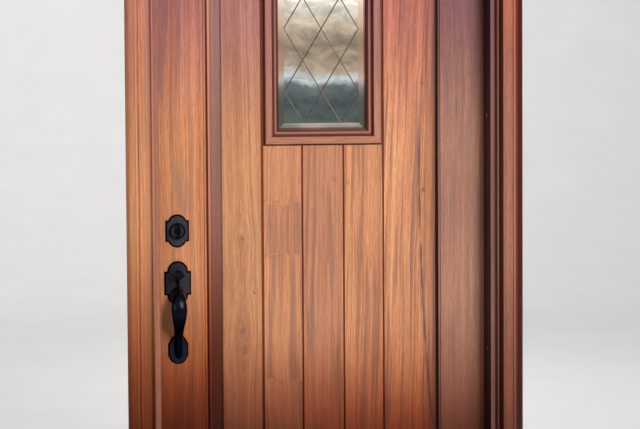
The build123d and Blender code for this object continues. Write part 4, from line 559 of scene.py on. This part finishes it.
# ------------------------------------------------------------------ glass
def glass(name, tint, waviness, cut=None):
    """Clear glass; cut = (half width, low, high) of the field inside the bevel, in metres."""
    t = Tree(name)
    v = t.obj()
    wave = t.noise(v, 22.0, 2.0, 0.5)
    smear = t.noise(v, 60.0, 3.0, 0.6)
    col = t.mix(t.math("MULTIPLY", t.range(smear, 0.5, 0.8), 0.25), tint, tuple(c * 0.93 for c in tint))
    rough = t.math("MULTIPLY", t.range(smear, 0.45, 0.8), 0.035)
    if cut is not None:
        p = t.split(v)
        mid = 0.5 * (cut[1] + cut[2])
        inx = t.range(t.math("ABSOLUTE", p[0]), cut[0] - 0.0004, cut[0] + 0.0004)
        inz = t.range(t.math("ABSOLUTE", t.math("SUBTRACT", p[2], mid)), 0.5 * (cut[2] - cut[1]) - 0.0004, 0.5 * (cut[2] - cut[1]) + 0.0004)
        bevel = t.math("MAXIMUM", inx, inz)
        col = t.mix(t.math("MULTIPLY", bevel, 0.85), col, (1.0, 0.78, 0.72))
        outx = t.range(t.math("ABSOLUTE", p[0]), cut[0] + 0.0135, cut[0] + 0.0150)
        outz = t.range(t.math("ABSOLUTE", t.math("SUBTRACT", p[2], mid)), 0.5 * (cut[2] - cut[1]) + 0.0115, 0.5 * (cut[2] - cut[1]) + 0.0135)
        col = t.mix(t.math("MULTIPLY", t.math("MAXIMUM", outx, outz), 0.85), col, (0.50, 0.20, 0.14))
        # ground walls of the V cuts
        n = t.split(t.new("ShaderNodeNewGeometry").outputs["True Normal"])
        flat = t.math("ABSOLUTE", n[1])
        wall = t.math("MULTIPLY", t.range(flat, 0.93, 0.97, 1.0, 0.0), t.range(flat, 0.2, 0.3))
        # painted shade and reflection on the cut walls: cuts that rise to the right are painted darker than those that
        # fall, whose upward walls are painted paler and pinker than their downward ones
        way = t.range(t.math("MULTIPLY", n[0], n[2]), -0.01, 0.01)
        upper = t.range(n[2], -0.1, 0.1)
        col = t.mix(wall, col, t.mix(way, (0.030, 0.014, 0.012), t.mix(upper, (0.10, 0.045, 0.035), (0.55, 0.33, 0.27))))
        rough = t.math("MAXIMUM", rough, t.math("MULTIPLY", wall, 0.25))
        t.set(Specular_IOR_Level=t.range(wall, 0.0, 1.0, 0.5, 0.05))
        rough = t.math("MAXIMUM", rough, t.math("MULTIPLY", bevel, 0.06))
    t.set(Base_Color=col, Roughness=rough)
    t.bsdf.inputs["Transmission Weight"].default_value = 1.0
    t.bsdf.inputs["IOR"].default_value = 1.5
    t.set(Normal=t.bump(wave, waviness, 0.0006))
    return t.mat


lo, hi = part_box("lattice_pane")
give("outer_pane", glass("float_glass", (0.93, 0.96, 0.96), 0.10))
give("lattice_pane", glass("cut_glass", (0.92, 0.95, 0.95), 0.05, (0.103, (lo[2] + hi[2]) / 2 - 0.2571, (lo[2] + hi[2]) / 2 + 0.2571)))

# ------------------------------------------------------------------ floor
# a pale round floor that sweeps up at its rim, far behind the door
rings_n, seg_n = 28, 96
verts, faces = [(0.0, 0.0, 0.0)], []
profile = [(0.6 * k, 0.0) for k in range(1, 11)]
for k in range(1, rings_n - 9):
    a = math.radians(90.0 * k / (rings_n - 10))
    profile.append((6.0 + 5.0 * math.sin(a), 5.0 - 5.0 * math.cos(a)))
profile.append((11.0, 9.0))
for r, z in profile:
    for k in range(seg_n):
        a = 2 * math.pi * k / seg_n
        verts.append((r * math.cos(a), r * math.sin(a), z))
for k in range(seg_n):
    faces.append((0, 1 + k, 1 + (k + 1) % seg_n))
for i in range(len(profile) - 1):
    for k in range(seg_n):
        a, b = 1 + i * seg_n + k, 1 + i * seg_n + (k + 1) % seg_n
        faces.append((a, a + seg_n, b + seg_n, b))
fm = bpy.data.meshes.new("floor")
fm.from_pydata(verts, [], faces)
for poly in fm.polygons:
    poly.use_smooth = True
floor = bpy.data.objects.new("floor", fm)
scene.collection.objects.link(floor)
floor.visible_transmission = False
ft = Tree("pale_floor")
fn = ft.noise(ft.obj(), 3.0, 3.0, 0.5)
ft.set(Base_Color=ft.mix(fn, (0.70, 0.695, 0.685), (0.76, 0.755, 0.745)))
ft.bsdf.inputs["Roughness"].default_value = 0.8
floor.data.materials.append(ft.mat)

# ------------------------------------------------------------------ studio light
world = bpy.data.worlds.new("studio")
scene.world = world
world.use_nodes = True
wt = world.node_tree
wt.nodes.clear()


def wnode(kind, **props):
    n = wt.nodes.new(kind)
    for k, v in props.items():
        setattr(n, k, v)
    return n


def wlink(a, b):
    wt.links.new(a, b)


# grey light, brighter towards the front and top, for lighting and reflections, plain grey for the backdrop; what shows
# through the glass is a soft dusk-like gradient
w_out = wnode("ShaderNodeOutputWorld")
w_path = wnode("ShaderNodeLightPath")
w_dir = wnode("ShaderNodeTexCoord")
w_sep = wnode("ShaderNodeSeparateXYZ")
wlink(w_dir.outputs["Generated"], w_sep.inputs[0])
w_cloud = wnode("ShaderNodeTexNoise")
w_cloud.inputs["Scale"].default_value = 26.0
w_cloud.inputs["Detail"].default_value = 4.0
w_cloud.inputs["Roughness"].default_value = 0.6
w_cloud.inputs["Distortion"].default_value = 0.8
wlink(w_dir.outputs["Generated"], w_cloud.inputs["Vector"])
w_sub = wnode("ShaderNodeMath", operation="SUBTRACT")
wlink(w_cloud.outputs["Fac"], w_sub.inputs[0])
w_sub.inputs[1].default_value = 0.5
w_mul = wnode("ShaderNodeMath", operation="MULTIPLY_ADD")
wlink(w_sub.outputs[0], w_mul.inputs[0])
w_mul.inputs[1].default_value = 0.024
wlink(w_sep.outputs[2], w_mul.inputs[2])
w_map = wnode("ShaderNodeMapRange")
wlink(w_mul.outputs[0], w_map.inputs["Value"])
w_map.inputs["From Min"].default_value = -0.035
w_map.inputs["From Max"].default_value = 0.085
w_ramp = wnode("ShaderNodeValToRGB")
wlink(w_map.outputs[0], w_ramp.inputs[0])
stops = [(0.0, (0.045, 0.060, 0.040)), (0.12, (0.11, 0.135, 0.11)), (0.24, (0.075, 0.090, 0.095)), (0.36, (0.17, 0.19, 0.19)), (0.395, (0.66, 0.67, 0.66)), (0.425, (0.64, 0.61, 0.57)),
         (0.455, (0.50, 0.38, 0.27)), (0.60, (0.36, 0.26, 0.19)), (0.72, (0.66, 0.50, 0.37)), (0.86, (1.02, 0.88, 0.76)), (1.0, (1.3, 1.22, 1.18))]
cr = w_ramp.color_ramp
while len(cr.elements) < len(stops):
    cr.elements.new(1.0)
for e, (pos, c) in zip(cr.elements, stops):
    e.position = pos
    e.color = (*c, 1.0)
w_soft = wnode("ShaderNodeBackground")
w_soft.inputs[0].default_value = (0.88, 0.89, 0.92, 1.0)
w_dot = wnode("ShaderNodeVectorMath", operation="DOT_PRODUCT")
wlink(w_dir.outputs["Generated"], w_dot.inputs[0])
w_dot.inputs[1].default_value = (0.33, -0.78, 0.53)
w_lev = wnode("ShaderNodeMapRange", interpolation_type="SMOOTHSTEP")
wlink(w_dot.outputs["Value"], w_lev.inputs["Value"])
for k, x in (("From Min", -0.6), ("From Max", 0.95), ("To Min", 0.18), ("To Max", 0.43)):
    w_lev.inputs[k].default_value = x
wlink(w_lev.outputs[0], w_soft.inputs[1])
w_back = wnode("ShaderNodeBackground")
w_back.inputs[0].default_value = (0.80, 0.80, 0.80, 1.0)
w_back.inputs[1].default_value = 1.0
w_glass = wnode("ShaderNodeBackground")
w_tall = wnode("ShaderNodeVectorMath", operation="MULTIPLY")
wlink(w_dir.outputs["Generated"], w_tall.inputs[0])
w_tall.inputs[1].default_value = (1.0, 1.0, 1.7)
w_leaf = wnode("ShaderNodeTexNoise")
w_leaf.inputs["Scale"].default_value = 62.0
w_leaf.inputs["Detail"].default_value = 3.0
w_leaf.inputs["Roughness"].default_value = 0.62
w_leaf.inputs["Distortion"].default_value = 0.9
wlink(w_tall.outputs[0], w_leaf.inputs["Vector"])
w_dapple = wnode("ShaderNodeMapRange")
wlink(w_leaf.outputs["Fac"], w_dapple.inputs["Value"])
for k, x in (("From Min", 0.32), ("From Max", 0.68), ("To Min", 0.62), ("To Max", 1.30)):
    w_dapple.inputs[k].default_value = x
w_tone = wnode("ShaderNodeVectorMath", operation="SCALE")
wlink(w_ramp.outputs[0], w_tone.inputs[0])
wlink(w_dapple.outputs[0], w_tone.inputs["Scale"])
wlink(w_tone.outputs[0], w_glass.inputs[0])
w_glass.inputs[1].default_value = 1.0
w_m1 = wnode("ShaderNodeMixShader")
wlink(w_path.outputs["Is Transmission Ray"], w_m1.inputs[0])
wlink(w_soft.outputs[0], w_m1.inputs[1])
wlink(w_glass.outputs[0], w_m1.inputs[2])
w_m2 = wnode("ShaderNodeMixShader")
wlink(w_path.outputs["Is Camera Ray"], w_m2.inputs[0])
wlink(w_m1.outputs[0], w_m2.inputs[1])
wlink(w_back.outputs[0], w_m2.inputs[2])
wlink(w_m2.outputs[0], w_out.inputs[0])


def area(name, loc, target, size, power, color=(1, 1, 1), spread=180.0):
    d = bpy.data.lights.new(name, "AREA")
    d.shape = "RECTANGLE"
    d.size, d.size_y = size
    d.energy = power
    d.color = color
    d.spread = math.radians(spread)
    o = bpy.data.objects.new(name, d)
    scene.collection.objects.link(o)
    o.location = loc
    o.rotation_mode = "QUATERNION"
    o.rotation_quaternion = (Vector(target) - Vector(loc)).to_track_quat("-Z", "Y")
    return o


lights = [
    area("key", (1.50, -3.9, 3.2), (0.0, 0.0, 1.20), (1.6, 1.9), 157.0, (1.0, 0.98, 0.95)),
    area("fill", (-3.0, -3.4, 2.2), (0.0, 0.0, 1.3), (1.8, 1.8), 25.0, (0.95, 0.97, 1.0)),
    area("back", (0.6, 3.2, 3.0), (0.0, 0.0, 1.1), (2.4, 2.4), 50.0),
    # a panel over the backdrop, behind the object
    area("overhead", (0.0, 7.2, 6.5), (0.0, 7.6, 0.0), (9.0, 6.0), 330.0),
]
for o in lights:
    o.visible_transmission = False

# ------------------------------------------------------------------ camera
CAM = (-0.6294, -3.6189, 1.4517)
YAW, PITCH, ROLL = 9.683, 1.920, -0.347
cd = bpy.data.cameras.new("camera")
cam = bpy.data.objects.new("camera", cd)
scene.collection.objects.link(cam)
cd.sensor_width = 36.0
cd.lens = 1362.2 / 640 * 36.0
cd.shift_y = (142.7 - 214.5) / 640
cam.location = CAM
cam.rotation_mode = "QUATERNION"
m = Matrix.Rotation(math.radians(-YAW), 3, "Z") @ Matrix.Rotation(math.radians(90.0 - PITCH), 3, "X") @ Matrix.Rotation(math.radians(ROLL), 3, "Z")
cam.rotation_quaternion = m.to_quaternion()
cd.clip_start, cd.clip_end = 0.05, 60.0
scene.camera = cam
